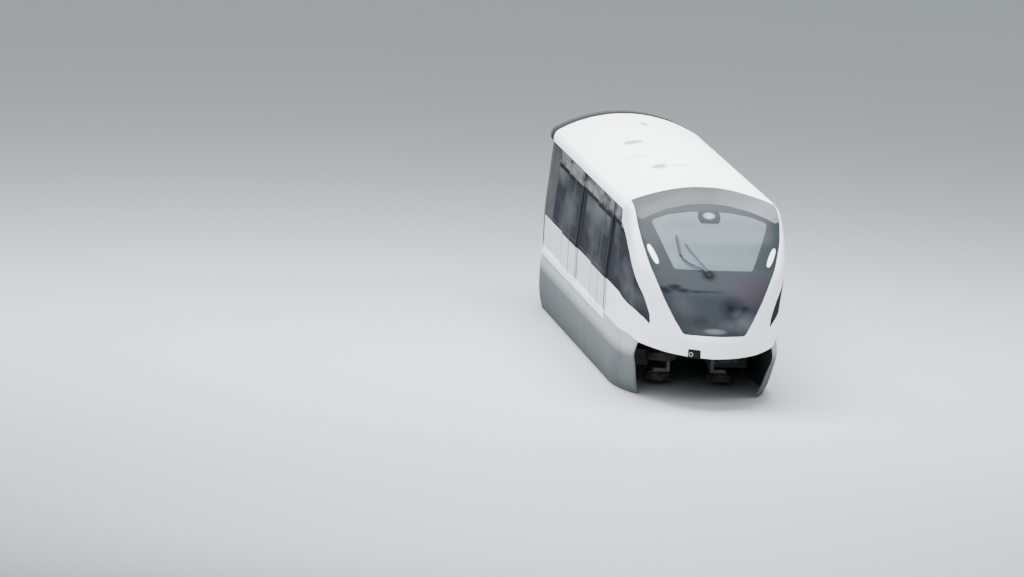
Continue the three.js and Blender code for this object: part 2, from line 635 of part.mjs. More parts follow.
function coupler(rootY, tipY) {
  const way = Math.sign(tipY - rootY);
  const bracketY = ordered(rootY, rootY + way * BRACKET_SIZE[1]);
  const bracket = box([-BRACKET_SIZE[0] / 2, BRACKET_SIZE[0] / 2], bracketY,
    [BRACKET_BOTTOM_Z, WALL_BOTTOM_Z - SEAT_GAP]);
  const barEnd = tipY - way * (HEAD_LENGTH - LAP);
  const bar = cylinder(COUPLER_RADIUS, Math.abs(barEnd - rootY), 'y', [0, (rootY + barEnd) / 2, COUPLER_Z]);
  const head = box([-HEAD_HALF[0], HEAD_HALF[0]], ordered(tipY - way * HEAD_LENGTH, tipY),
    [COUPLER_Z - HEAD_HALF[1], COUPLER_Z + HEAD_HALF[1]]);
  return joined([bracket, bar, head]);
}
const FRONT_COUPLER_Y = [-6300, -7330];
const REAR_DRAWBAR_Y = [BODY_END_Y - 280, CAR_END_Y];
addPiece('front_coupler', coupler(...FRONT_COUPLER_Y), FRAME_STEEL);
addPiece('rear_drawbar', coupler(...REAR_DRAWBAR_Y), FRAME_STEEL);

// Equipment cases that hang beside the beam between the bogies
const CASE_X = [600, 1390];
const CASE_Y = [-3000, 3000];
const CASE_Z = [-800, WALL_BOTTOM_Z - SEAT_GAP];
const CASE_RIB_PITCH = 900;
const CASE_GROOVE = 40;           // width and depth of the grooves across its underside
let equipmentCase = box(CASE_X, CASE_Y, CASE_Z);
for (let y = CASE_Y[0] + CASE_RIB_PITCH / 2; y < CASE_Y[1]; y += CASE_RIB_PITCH) {
  const groove = box([CASE_X[0] - LAP, CASE_X[1] + LAP], [y, y + CASE_GROOVE],
    [CASE_Z[0] - LAP, CASE_Z[0] + CASE_GROOVE]);
  equipmentCase = equipmentCase.subtract(groove);
}
addPiece('equipment_case_left', equipmentCase, CASE_PAINT);
addPiece('equipment_case_right', flipped(equipmentCase), CASE_PAINT);

// Benches along the walls between the doorways
const BENCH_Y = [-1200, 700];
const benchOutline = [
  [1100, FLOOR_Z + SEAT_GAP], [1440, FLOOR_Z + SEAT_GAP], [1440, 1380], [1395, 1390], [1365, 960],
  [1040, 930], [1030, 860], [1100, 850],
];
const bench = prismY(benchOutline, BENCH_Y[0], BENCH_Y[1]);
addPiece('bench_left', bench, SEAT_SHELL);
addPiece('bench_right', flipped(bench), SEAT_SHELL);

// Grab rails: posts at the bench ends, joined overhead
const POST_RADIUS = 18;
const POST_SIDES = 10;
const POST_X = 1000;
const POST_Y = [BENCH_Y[0] - 60, BENCH_Y[1] + 60];
const FOOT_RADIUS = 45;
const FOOT_THICK = 12;
const RAIL_Z = 2380;
const POST_FOOT_Z = FLOOR_Z + SEAT_GAP;
const rails = [];
for (const x of [-POST_X, POST_X]) {
  for (const y of POST_Y) {
    const postMiddle = [x, y, (RAIL_Z + POST_FOOT_Z) / 2];
    rails.push(cylinder(POST_RADIUS, RAIL_Z - POST_FOOT_Z, 'z', postMiddle, POST_SIDES));
    rails.push(cylinder(FOOT_RADIUS, FOOT_THICK, 'z', [x, y, POST_FOOT_Z + FOOT_THICK / 2], POST_SIDES));
  }
  const middleY = (POST_Y[0] + POST_Y[1]) / 2;
  rails.push(cylinder(POST_RADIUS - 1, POST_Y[1] - POST_Y[0], 'y', [x, middleY, RAIL_Z - 2], POST_SIDES));
}
for (const y of POST_Y) {
  rails.push(cylinder(POST_RADIUS - 2, 2 * POST_X, 'x', [0, y, RAIL_Z - 1], POST_SIDES));
}
addPiece('grab_rails', joined(rails), RAIL_STEEL);

// Console behind the windscreen
const consoleOutline = [
  [-6560, FLOOR_Z + SEAT_GAP], [-5850, FLOOR_Z + SEAT_GAP], [-5850, 1230], [-5980, 1330], [-6440, 1400],
  [-6560, 1280],
];
const CONSOLE_HALF = 640;
addPiece('front_console', prismX(consoleOutline, -CONSOLE_HALF, CONSOLE_HALF), CASE_PAINT);

// Running gear
const LOAD_RADIUS = 500;
const LOAD_TYRE_WIDTH = 250;
const LOAD_TYRE_X = 165;
const GUIDE_RADIUS = 310;
const GUIDE_WIDTH = 180;
const GUIDE_Z = -270;
const GUIDE_SPREAD = 640;         // guide wheels stand this far before and behind the load axle
const STABLE_RADIUS = 270;        // stabilising wheels, low on the beam's sides
const STABLE_WIDTH = 160;
const STABLE_Z = -780;
const PIN_RADIUS = 55;
const PIN_PLAY = 0.6;
const AXLE_RADIUS = 70;
const PLATE_X = [405, 465];       // side plates of a bogie frame, clear of the beam
const SPRING_PLACE = [590, 420];   // of each air spring, across and along from the bogie centre
const SPRING_RADIUS = 100;
const LOAD_SIDES = 26;
const PIN_SIDES = 12;
const BORE_SIDES = 20;

// Outlines of a wheel with its tyre, as (radius, place across) points from bore to bore
// places across are shares of the half width, radii are shares of the rim's radius
const WEB_SHARE = 0.6;
const RIM_FACE_SHARE = 0.9;
const TREAD_SHOULDER = 0.2;

function solidWheelProfile(radius, width, bore) {
  const half = width / 2;
  const tread = half - TREAD_SHOULDER * width;
  const rim = 0.66 * radius;
  return [
    [bore, -WEB_SHARE * half], [0.55 * rim, -WEB_SHARE * half], [rim, -RIM_FACE_SHARE * half],
    [radius, -tread], [radius, tread],
    [rim, RIM_FACE_SHARE * half], [0.55 * rim, WEB_SHARE * half], [bore, WEB_SHARE * half],
    [bore, -WEB_SHARE * half],
  ];
}

function dishedWheelProfile(radius, width, bore) {
  const half = width / 2;
  const tread = half - TREAD_SHOULDER * width;
  const rim = 0.62 * radius;
  const dish = 0.25 * half;
  return [
    [bore, -WEB_SHARE * half], [0.5 * rim, -WEB_SHARE * half], [rim, -dish], [rim, -RIM_FACE_SHARE * half],
    [radius, -tread], [radius, tread],
    [rim, RIM_FACE_SHARE * half], [rim, dish], [0.5 * rim, WEB_SHARE * half], [bore, WEB_SHARE * half],
    [bore, -WEB_SHARE * half],
  ];
}

const AXLE_SEAT = 10;             // how far the axle is sunk into the wheels
const AXLE_HALF = PLATE_X[1] - 5;

function loadWheels(y) {
  const profile = dishedWheelProfile(LOAD_RADIUS, LOAD_TYRE_WIDTH, AXLE_RADIUS - AXLE_SEAT);
  const wheels = [-LOAD_TYRE_X, LOAD_TYRE_X]
    .map((x) => turned(profile, 'x', [x, y, LOAD_RADIUS], LOAD_SIDES));
  const axle = cylinder(AXLE_RADIUS, 2 * AXLE_HALF, 'x', [0, y, LOAD_RADIUS], PIN_SIDES);
  return joined([...wheels, axle]);
}

// Vertical pin that carries one small wheel from above, with its arm and its retaining disc
const ARM_THICK = 62;
const ARM_REACH = 95;             // of an arm's end past its pin's centre
const ARM_CLEAR = 14;             // between an arm and the wheel's widest part
const DISC_RADIUS = 87;
const DISC_THICK = 14;
const DISC_CLEAR = 6;
const WEB_HALF_SHARE = 0.31;      // half the thickness of a wheel's web, as a share of its width

function hangingPin(x, y, z, width, armRootX, armHalf) {
  const armZ = z + width / 2 + ARM_CLEAR;
  const armX = ordered(armRootX, x + Math.sign(x) * ARM_REACH);
  const arm = box(armX, [y - armHalf, y + armHalf], [armZ, armZ + ARM_THICK]);
  const low = z - width * WEB_HALF_SHARE - DISC_CLEAR;
  const top = armZ + LAP;
  const pin = cylinder(PIN_RADIUS, top - low, 'z', [x, y, (top + low) / 2], PIN_SIDES);
  const disc = cylinder(DISC_RADIUS, DISC_THICK, 'z', [x, y, low - DISC_THICK / 2], PIN_SIDES);
  return joined([arm, pin, disc]);
}

// Bogie frame: side plates beside the beam, cross beams at both ends, spring carriers and wheel pins
// columns: half length along the car, lower and upper edge Z
const PLATE_PARTS = [
  [780, -150, 420],
  [330, 400, 690],
  [190, -660, -140],
];
const CROSS_BEAM_PLACE = 690;
const CROSS_BEAM_HALF = 60;
const CROSS_BEAM_Z = [110, 330];
const CARRIER_Z = [330, 410];
const GUIDE_ARM_HALF = 110;
const STABLE_ARM_HALF = 120;

function bogieFrame(y) {
  const pieces = [];
  for (const side of [-1, 1]) {
    const root = side * PLATE_X[0];
    for (const [half, z0, z1] of PLATE_PARTS) {
      pieces.push(box(ordered(root, side * PLATE_X[1]), [y - half, y + half], [z0, z1]));
    }
    for (const end of [-1, 1]) {
      const wheelX = side * (BEAM_HALF + GUIDE_RADIUS);
      pieces.push(hangingPin(wheelX, y + end * GUIDE_SPREAD, GUIDE_Z, GUIDE_WIDTH, root, GUIDE_ARM_HALF));
      const springY = y + end * SPRING_PLACE[1];
      const carrierEnd = side * (SPRING_PLACE[0] + SPRING_RADIUS);
      const carrierY = [springY - SPRING_RADIUS, springY + SPRING_RADIUS];
      pieces.push(box(ordered(root, carrierEnd), carrierY, CARRIER_Z));
      const springTop = HOUSING_SHELF_Z - SEAT_GAP;
      const springFoot = CARRIER_Z[1] - LAP;
      pieces.push(cylinder(SPRING_RADIUS, springTop - springFoot, 'z',
        [side * SPRING_PLACE[0], springY, (springTop + springFoot) / 2], PIN_SIDES));
    }
    const stableX = side * (BEAM_HALF + STABLE_RADIUS);
    pieces.push(hangingPin(stableX, y, STABLE_Z, STABLE_WIDTH, root, STABLE_ARM_HALF));
  }
  for (const end of [-1, 1]) {
    const middle = y + end * CROSS_BEAM_PLACE;
    const beamY = [middle - CROSS_BEAM_HALF, middle + CROSS_BEAM_HALF];
    pieces.push(box([-PLATE_X[0] - LAP, PLATE_X[0] + LAP], beamY, CROSS_BEAM_Z));
  }
  const bore = cylinder(boreRadius(AXLE_RADIUS), FAR, 'x', [0, y, LOAD_RADIUS], BORE_SIDES);
  return joined(pieces).subtract(bore);
}

// Corner radius of a many-sided bore whose flats clear a pin of the given radius
function boreRadius(pinRadius) {
  return (pinRadius + PIN_PLAY) / Math.cos(Math.PI / BORE_SIDES);
}

function smallWheel(radius, width, x, y, z) {
  return turned(solidWheelProfile(radius, width, boreRadius(PIN_RADIUS)), 'z', [x, y, z], BORE_SIDES);
}

// columns: name of the bogie, which end of the car it is at
const BOGIES = [['front', -1], ['rear', 1]];
const SIDES = [['left', 1], ['right', -1]];
for (const [bogie, end] of BOGIES) {
  const y = end * BOGIE_Y;
  addPiece(`bogie_frame_${bogie}`, bogieFrame(y), FRAME_STEEL);
  addPiece(`load_wheels_${bogie}`, loadWheels(y), TYRE_RUBBER);
  for (const [side, sign] of SIDES) {
    const guideX = sign * (BEAM_HALF + GUIDE_RADIUS);
    for (const [place, way] of [['fore', -1], ['aft', 1]]) {
      const wheel = smallWheel(GUIDE_RADIUS, GUIDE_WIDTH, guideX, y + way * GUIDE_SPREAD, GUIDE_Z);
      addPiece(`guide_wheel_${bogie}_${place}_${side}`, wheel, TYRE_RUBBER);
    }
    const wheel = smallWheel(STABLE_RADIUS, STABLE_WIDTH, sign * (BEAM_HALF + STABLE_RADIUS), y, STABLE_Z);
    addPiece(`stabiliser_wheel_${bogie}_${side}`, wheel, TYRE_RUBBER);
  }
}

export default car;
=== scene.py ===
# Straddle monorail end car: the finish and fine surface of every piece, built round its construction model.
import math

import bpy
from mathutils import Matrix, Vector


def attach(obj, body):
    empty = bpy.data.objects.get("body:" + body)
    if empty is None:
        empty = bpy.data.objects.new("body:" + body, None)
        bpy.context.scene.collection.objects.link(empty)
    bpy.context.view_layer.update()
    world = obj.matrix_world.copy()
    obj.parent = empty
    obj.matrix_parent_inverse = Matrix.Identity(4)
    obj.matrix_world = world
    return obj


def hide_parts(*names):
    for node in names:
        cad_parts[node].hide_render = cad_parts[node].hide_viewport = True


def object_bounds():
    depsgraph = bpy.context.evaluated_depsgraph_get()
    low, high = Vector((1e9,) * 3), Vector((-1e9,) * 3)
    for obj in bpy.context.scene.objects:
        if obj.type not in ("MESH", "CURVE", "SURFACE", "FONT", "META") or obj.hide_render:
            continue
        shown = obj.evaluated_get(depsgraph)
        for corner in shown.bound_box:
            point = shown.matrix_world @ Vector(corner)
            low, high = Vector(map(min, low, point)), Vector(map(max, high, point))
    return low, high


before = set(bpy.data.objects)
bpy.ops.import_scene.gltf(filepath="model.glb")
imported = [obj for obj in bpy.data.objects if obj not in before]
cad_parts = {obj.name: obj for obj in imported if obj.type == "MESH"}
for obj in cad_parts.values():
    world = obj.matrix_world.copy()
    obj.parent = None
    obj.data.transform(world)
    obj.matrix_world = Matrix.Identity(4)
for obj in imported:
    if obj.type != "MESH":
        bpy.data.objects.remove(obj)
CAD_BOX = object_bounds()

# Camera
# A long lens looks down on the nose from a footbridge, a little from the car's right side.
# Its place follows from the pixel where a point on the centreline shows and from the scale there.
PHOTO_WIDTH = 1024
PHOTO_HEIGHT = 577
SENSOR_WIDTH = 36.0
VIEW_YAW = math.radians(8.17)
VIEW_PITCH = math.radians(-8.27)
VIEW_ROLL = math.radians(3.15)
VIEW_DISTANCE = 200.0
PIXELS_PER_METRE = 51.0
AIM_POINT = Vector((0.0, -3.0, 1.06))
AIM_PIXEL = (682.6, 272.25)

focal_pixels = PIXELS_PER_METRE * VIEW_DISTANCE
forward = Vector((
    math.sin(VIEW_YAW) * math.cos(VIEW_PITCH),
    math.cos(VIEW_YAW) * math.cos(VIEW_PITCH),
    math.sin(VIEW_PITCH),
))
level_right = forward.cross(Vector((0, 0, 1))).normalized()
level_up = level_right.cross(forward)
camera_right = math.cos(VIEW_ROLL) * level_right + math.sin(VIEW_ROLL) * level_up
camera_up = math.cos(VIEW_ROLL) * level_up - math.sin(VIEW_ROLL) * level_right
aim_across = (AIM_PIXEL[0] - PHOTO_WIDTH / 2) / focal_pixels
aim_up = (PHOTO_HEIGHT / 2 - AIM_PIXEL[1]) / focal_pixels
camera_place = AIM_POINT - VIEW_DISTANCE * (forward + aim_across * camera_right + aim_up * camera_up)


def added(operator, **settings):
    """Runs an operator that adds an object, and returns that object."""
    bpy.ops.object.select_all(action="DESELECT")
    operator(**settings)
    return bpy.context.object


camera = added(bpy.ops.object.camera_add, location=camera_place)
camera.name = "camera"
camera.rotation_mode = "QUATERNION"
camera.rotation_quaternion = Matrix((camera_right, camera_up, -forward)).transposed().to_quaternion()
camera.data.sensor_width = SENSOR_WIDTH
camera.data.lens = focal_pixels * SENSOR_WIDTH / PHOTO_WIDTH
camera.data.clip_start = 1.0
camera.data.clip_end = 900.0
bpy.context.scene.camera = camera

# Studio
# A plain pale floor at the skirts' lower edge, a soft overhead panel and weaker side panels.
FLOOR_SIZE = 900.0
FLOOR_GAP = 0.004
FLOOR_COLOUR = (0.46, 0.47, 0.48)
SKY_COLOUR = (0.86, 0.93, 1.0)
SKY_STRENGTH = 0.80
CAR_MIDDLE = Vector((0, -1, 1))
# name, place, size, watts
SOFT_PANELS = [
    ("top_panel", (-2.0, -2.0, 17.0), 18.0, 16000),
    ("front_panel", (-6.0, -26.0, 12.0), 14.0, 4200),
    ("side_panel", (-22.0, 2.0, 9.0), 12.0, 2600),
    ("fill_panel", (20.0, -4.0, 9.0), 12.0, 2200),
]


def feed(node, name, value):
    """Sets an input of a node to a number or colour, or links it to another node's output."""
    socket = node.inputs[name]
    if isinstance(value, bpy.types.NodeSocket):
        node.id_data.links.new(value, socket)
    elif isinstance(value, tuple) and socket.type == "RGBA":
        socket.default_value = (*value, 1)
    else:
        socket.default_value = value


def new_material(name):
    material = bpy.data.materials.new(name)
    material.use_nodes = True
    return material, material.node_tree.nodes["Principled BSDF"]


floor_material, shader = new_material("studio_floor")
feed(shader, "Base Color", FLOOR_COLOUR)
feed(shader, "Roughness", 0.75)
floor = added(bpy.ops.mesh.primitive_plane_add, size=FLOOR_SIZE, location=(0, 0, CAD_BOX[0].z - FLOOR_GAP))
floor.name = "studio_floor"
floor.data.materials.append(floor_material)

world = bpy.data.worlds.new("studio_world")
bpy.context.scene.world = world
world.use_nodes = True
background = world.node_tree.nodes["Background"]
feed(background, "Color", SKY_COLOUR)
feed(background, "Strength", SKY_STRENGTH)
for name, place, size, watts in SOFT_PANELS:
    panel_light = added(bpy.ops.object.light_add, type="AREA", location=place)
    panel_light.name = name
    panel_light.data.size = size
    panel_light.data.energy = watts
    towards = CAR_MIDDLE - Vector(place)
    panel_light.rotation_euler = towards.to_track_quat("-Z", "Y").to_euler()

# Moulded nose skin
# The nose and the roof are one smooth fibre shell, made of level curves stacked up its height. It is cut
# along its panel seams, so that the white frame, dark mask, glass and roof run on from each other.
CROWN_Z = 3.11
WALL_TOP_Z = 2.50
KNEE_Z = 1.06
WALL_BOTTOM_Z = 0.24
SKIRT_BOTTOM_Z = -0.98
WALL_HALF = 1.541
WALL_TOP_HALF = 1.420
SHOULDER_HALF = 1.500
SHOULDER_RADIUS = 0.200
ROOF_RADIUS = 2.819
BODY_END_Y = 5.45
NOSE_JOIN_Y = -3.25
FLARE_Y = -4.35
# height, half width
SKIRT_SECTION = [(-0.98, 1.505), (-0.80, 1.560), (-0.56, 1.592), (-0.09, 1.600), (0.15, 1.560), (0.24, 1.543)]
# height, place of the nose's centreline, power of the level curve, its depth along the car
NOSE_TABLE = [
    (-0.98, -6.42, 2.05, 2.4), (-0.50, -6.90, 2.05, 2.5), (-0.14, -7.38, 2.05, 2.6), (0.16, -7.44, 2.05, 2.6),
    (0.31, -7.475, 2.1, 2.6), (0.56, -7.38, 2.3, 2.6), (0.80, -7.26, 2.6, 2.5), (1.00, -7.165, 2.9, 2.4),
    (1.20, -7.055, 3.4, 2.3), (1.41, -6.91, 4.2, 2.2), (1.66, -6.74, 5.2, 2.0), (1.91, -6.51, 6.2, 1.8),
    (2.16, -6.28, 6.8, 1.5), (2.40, -6.01, 6.6, 1.35), (2.50, -5.926, 6.2, 1.3), (2.62, -5.762, 5.4, 1.3),
    (2.70, -5.672, 4.6, 1.5), (2.80, -5.49, 4.0, 1.7), (2.89, -5.315, 3.6, 1.9), (2.96, -5.18, 3.3, 2.0),
    (3.02, -4.995, 3.2, 2.1), (3.06, -4.85, 3.2, 2.1), (3.09, -4.67, 3.2, 2.1), (3.11, -4.57, 3.2, 2.1),
]
SKIN_COLUMNS = 176
WALL_ROWS = 80
SHOULDER_ROWS = 10
BARREL_ROWS = 26
CURVED_SHARE = 0.78
FLARED_SHARE = 0.30
SHELL_THICKNESS = 0.035
UNDERCUT = 0.0004
shoulder_half = SHOULDER_HALF - SHOULDER_RADIUS
shoulder_angle = math.asin(shoulder_half / (ROOF_RADIUS - SHOULDER_RADIUS))
shoulder_z = CROWN_Z - ROOF_RADIUS + (ROOF_RADIUS - SHOULDER_RADIUS) * math.cos(shoulder_angle)


def between(table, at, column=1):
    """Straight interpolation in a table whose first column rises."""
    if at <= table[0][0]:
        return table[0][column]
    for low, high in zip(table, table[1:]):
        if at <= high[0]:
            share = (at - low[0]) / (high[0] - low[0])
            return low[column] + share * (high[column] - low[column])
    return table[-1][column]


def eased(table, at, column=1, reach=0.09):
    """The same, with its corners rounded off by averaging over a short stretch."""
    steps = [-1.0, -0.6, -0.2, 0.2, 0.6, 1.0]
    near = min(reach, at - table[0][0], table[-1][0] - at)
    return sum(between(table, at + near * step, column) for step in steps) / len(steps)


def wall_x(z):
    return WALL_HALF - (WALL_HALF - WALL_TOP_HALF) * max(0.0, z - KNEE_Z) / (WALL_TOP_Z - KNEE_Z)


def roof_x(z):
    if z <= shoulder_z:
        return SHOULDER_HALF
    if z < shoulder_z + SHOULDER_RADIUS * math.cos(shoulder_angle):
        return shoulder_half + math.sqrt(SHOULDER_RADIUS**2 - (z - shoulder_z) ** 2)
    drop = CROWN_Z - z
    return math.sqrt(max(0.0, 2 * ROOF_RADIUS * drop - drop * drop))


def skin_half(z):
    """Half width of the straight body at a height."""
    if z < WALL_BOTTOM_Z:
        return eased(SKIRT_SECTION, z)
    return wall_x(z) if z <= WALL_TOP_Z else roof_x(z)


def hoop_half(z):
    """Half width of the nose, which stands a little out from the leaning walls."""
    if z < KNEE_Z or z > WALL_TOP_Z:
        return skin_half(z)
    return WALL_HALF - (WALL_HALF - SHOULDER_HALF) * ((z - KNEE_Z) / (WALL_TOP_Z - KNEE_Z)) ** 4


def front_y(x, z):
    """Place of the nose's surface along the car at a point seen from the front."""
    tip, power, depth = (eased(NOSE_TABLE, z, column) for column in (1, 2, 3))
    share = min(1.0, abs(x) / hoop_half(z))
    return tip + depth * (1 - (1 - share**power) ** (1 / power))


def skin_point(across, z):
    """A point of the skin. Across runs from -1 to 1 round the nose, and its outer parts along the sides."""
    tip, power, depth = (eased(NOSE_TABLE, z, column) for column in (1, 2, 3))
    angle = min(1.0, abs(across) / CURVED_SHARE) * math.pi / 2
    reach = (math.sin(angle) ** power + max(0.0, math.cos(angle)) ** power) ** (-1 / power)
    x = hoop_half(z) * reach * math.sin(angle)
    y = tip + depth * (1 - reach * max(0.0, math.cos(angle)))
    beyond = max(0.0, abs(across) - CURVED_SHARE) / (1 - CURVED_SHARE)
    flare = min(1.0, beyond / FLARED_SHARE)
    x += (skin_half(z) - hoop_half(z)) * flare * flare * (3 - 2 * flare)
    flare_end = max(FLARE_Y, y)
    y += (flare_end - y) * flare
    y += (BODY_END_Y - flare_end) * max(0.0, beyond - FLARED_SHARE) / (1 - FLARED_SHARE)
    return Vector((math.copysign(x, across), y, z))


def only(piece):
    bpy.ops.object.select_all(action="DESELECT")
    piece.select_set(True)
    bpy.context.view_layer.objects.active = piece


def grid_piece(name, columns, rows, place):
    """A grid whose vertices are moved to place(s, t), with s and t from -1 to 1."""
    piece = added(bpy.ops.mesh.primitive_grid_add, x_subdivisions=columns, y_subdivisions=rows, size=2)
    piece.name = name
    for vertex in piece.data.vertices:
        vertex.co = place(vertex.co.x, vertex.co.y)
    return piece


def in_edit(piece, *steps):
    """Runs edit-mode steps on all of the piece."""
    only(piece)
    bpy.ops.object.mode_set(mode="EDIT")
    bpy.ops.mesh.select_all(action="SELECT")
    for step in steps:
        step()
    bpy.ops.object.mode_set(mode="OBJECT")


def weld():
    bpy.ops.mesh.remove_doubles(threshold=0.0004)


def face_out():
    bpy.ops.mesh.normals_make_consistent(inside=False)


def modify(piece, kind, **values):
    only(piece)
    modifier = piece.modifiers.new(kind.lower(), kind)
    for key, value in values.items():
        setattr(modifier, key, value)
    bpy.ops.object.modifier_apply(modifier=modifier.name)


def smooth(piece, degrees=32):
    only(piece)
    bpy.ops.object.shade_smooth_by_angle(angle=math.radians(degrees))


def prism(outline, axis, low, high):
    """A closed prism. Its outline is (x, z) points along Y, (y, z) points along X or (x, y) along Z."""
    def at(a, b, depth):
        return {"y": (a, depth, b), "x": (depth, a, b), "z": (a, b, depth)}[axis]

    piece = added(bpy.ops.mesh.primitive_circle_add, vertices=len(outline), fill_type="NGON")
    for vertex, (a, b) in zip(piece.data.vertices, outline):
        vertex.co = at(a, b, low)
    push = at(0, 0, high - low)
    in_edit(
        piece,
        lambda: bpy.ops.mesh.extrude_region_move(TRANSFORM_OT_translate={"value": push}),
        lambda: bpy.ops.mesh.select_all(action="SELECT"),
        face_out,
    )
    return piece


def rounded(corners, steps=7):
    """An outline whose corners, given as (a, b, radius), are rounded with arcs."""
    points = []
    count = len(corners)
    for i, (a, b, radius) in enumerate(corners):
        here = Vector((a, b))
        before = Vector(corners[i - 1][:2]) - here
        after = Vector(corners[(i + 1) % count][:2]) - here
        turn = before.angle(after)
        if radius <= 0 or turn > math.pi - 0.01:
            points.append((a, b))
            continue
        reach = min(radius / math.tan(turn / 2), 0.45 * before.length, 0.45 * after.length)
        start = here + before.normalized() * reach
        end = here + after.normalized() * reach
        for step in range(steps):
            share = step / (steps - 1)
            point = (1 - share) ** 2 * start + 2 * share * (1 - share) * here + share**2 * end
            points.append((point.x, point.y))
    return points


def both_sides(half):
    """Closes half of an outline, which begins and ends on the centreline, with its mirror image."""
    return half + [(-corner[0], *corner[1:]) for corner in reversed(half) if corner[0] > 0]


def offset(outline, amount):
    """The outline moved outwards by amount, or inwards where it is negative."""
    area = sum(a[0] * b[1] - b[0] * a[1] for a, b in zip(outline, outline[1:] + outline[:1]))
    turn = math.copysign(1.0, area)
    moved = []
    count = len(outline)
    for i in range(count):
        before = Vector(outline[i]) - Vector(outline[i - 1])
        after = Vector(outline[(i + 1) % count]) - Vector(outline[i])
        normal = Vector((0.0, 0.0))
        for side in (before, after):
            if side.length > 1e-7:
                normal += Vector((side.y, -side.x)).normalized()
        normal.normalize()
        moved.append((outline[i][0] + turn * normal.x * amount, outline[i][1] + turn * normal.y * amount))
    return moved


def boolean(piece, tool, operation):
    modify(piece, "BOOLEAN", operation=operation, object=tool, solver="EXACT")
    bpy.data.objects.remove(tool)


def copy_of(source, name):
    piece = source.copy()
    piece.data = source.data.copy()
    piece.name = name
    bpy.context.collection.objects.link(piece)
    return piece


row_heights = [
    SKIRT_BOTTOM_Z + (WALL_TOP_Z - UNDERCUT - SKIRT_BOTTOM_Z) * i / WALL_ROWS for i in range(WALL_ROWS + 1)
]
row_heights += [WALL_TOP_Z + UNDERCUT, (WALL_TOP_Z + shoulder_z) / 2]
for i in range(SHOULDER_ROWS):
    climb = (math.pi / 2 - shoulder_angle) * i / SHOULDER_ROWS
    row_heights.append(shoulder_z + SHOULDER_RADIUS * math.sin(climb))
for i in range(BARREL_ROWS + 1):
    turn = shoulder_angle * (1 - i / BARREL_ROWS)
    row_heights.append(CROWN_Z - ROOF_RADIUS * (1 - math.cos(turn)))
top_row = len(row_heights) - 1
skin = grid_piece(
    "skin", SKIN_COLUMNS, top_row, lambda s, t: skin_point(s, row_heights[round((t + 1) / 2 * top_row)])
)
in_edit(skin, weld)
outward = sum(face.normal.dot(face.center - CAR_MIDDLE) for face in skin.data.polygons)
if outward < 0:
    in_edit(skin, lambda: bpy.ops.mesh.flip_normals())
modify(skin, "SOLIDIFY", thickness=SHELL_THICKNESS, offset=-1, use_even_offset=True)

# Panel seams of the nose
# Outlines seen from the front as (x, z) corners of the right half, or from the side as (y, z) corners,
# each corner with the radius that rounds it.
SEAM = 0.002
FAR_AHEAD = -8.0
MASK_HALF = [
    (0.0, 0.466, 0), (0.600, 0.474, 0.10), (0.765, 0.735, 0.5), (0.957, 1.10, 0.8), (1.225, 1.71, 1.2),
    (1.345, 2.12, 0.9), (1.383, 2.33, 0.6), (1.400, 2.51, 0.4), (1.405, 2.80, 0), (1.405, 3.30, 0),
    (0.0, 3.30, 0),
]
SCREEN_HALF = [
    (0.0, 1.648, 0), (0.762, 1.658, 0.07), (1.142, 2.475, 0.07), (0.80, 2.586, 0.6), (0.40, 2.640, 0.8),
    (0.0, 2.652, 0),
]
VISOR_HALF = [
    (0.0, 2.778, 0), (0.40, 2.752, 0.6), (0.80, 2.676, 0.6), (1.12, 2.570, 0.5), (1.30, 2.478, 0.12),
    (1.46, 2.52, 0), (1.46, 3.30, 0), (0.0, 3.30, 0),
]
CHIN_HALF = [
    (0.0, 0.030, 0), (0.43, 0.046, 0.8), (0.86, 0.080, 0.8), (1.32, 0.150, 0.15), (1.45, WALL_BOTTOM_Z, 0.04),
    (1.70, WALL_BOTTOM_Z, 0), (1.70, 3.4, 0), (0.0, 3.4, 0),
]
CAB_GLASS = [
    (NOSE_JOIN_Y - 0.02, 0.930, 0.02), (-4.968, 0.922, 1.0), (-6.124, 0.772, 0.8), (-6.480, 0.660, 0.3),
    (-6.668, 0.555, 0.04), (-6.664, 0.760, 0.3), (-6.530, 1.110, 0.5), (-6.180, 1.560, 0.8),
    (-5.888, 1.835, 0.8), (-5.450, 2.065, 0.8), (-4.515, 2.330, 0.9), (-4.10, 2.420, 0.5),
    (NOSE_JOIN_Y - 0.02, 2.440, 0.02),
]
TOP_LAMP_HALF = [
    (0.0, 2.452, 0), (0.185, 2.452, 0.06), (0.225, 2.560, 0.06), (0.205, 2.655, 0.04), (0.0, 2.662, 0),
]
TOW_HATCH = [(-0.500, 0.020, 0), (-0.255, 0.020, 0), (-0.262, 0.196, 0.03), (-0.500, 0.206, 0.03)]
LAMP_MIDDLE = (1.155, 1.898)
LAMP_HALF = (0.056, 0.188)
LAMP_TILT = math.radians(27.0)
LAMP_POINTS = 28
LAMP_RIM = 0.010
VISOR_BACK_Y = -4.94
# distances from the centreline between which the side glass is cut
GLASS_X = (1.0, 1.8)
SIDES = (("left", 1), ("right", -1))


def lamp_outline(side, grow=0.0):
    points = []
    for i in range(LAMP_POINTS):
        angle = 2 * math.pi * i / LAMP_POINTS
        u = (LAMP_HALF[0] + grow) * math.copysign(abs(math.cos(angle)) ** 0.8, math.cos(angle))
        v = (LAMP_HALF[1] + grow) * math.copysign(abs(math.sin(angle)) ** 0.9, math.sin(angle))
        x = LAMP_MIDDLE[0] + u * math.cos(LAMP_TILT) + v * math.sin(LAMP_TILT)
        z = LAMP_MIDDLE[1] - u * math.sin(LAMP_TILT) + v * math.cos(LAMP_TILT)
        points.append((side * x, z))
    return points


def on_side(side, low, high):
    """The span between two distances from the centreline, on one side of the car."""
    return sorted((side * low, side * high))


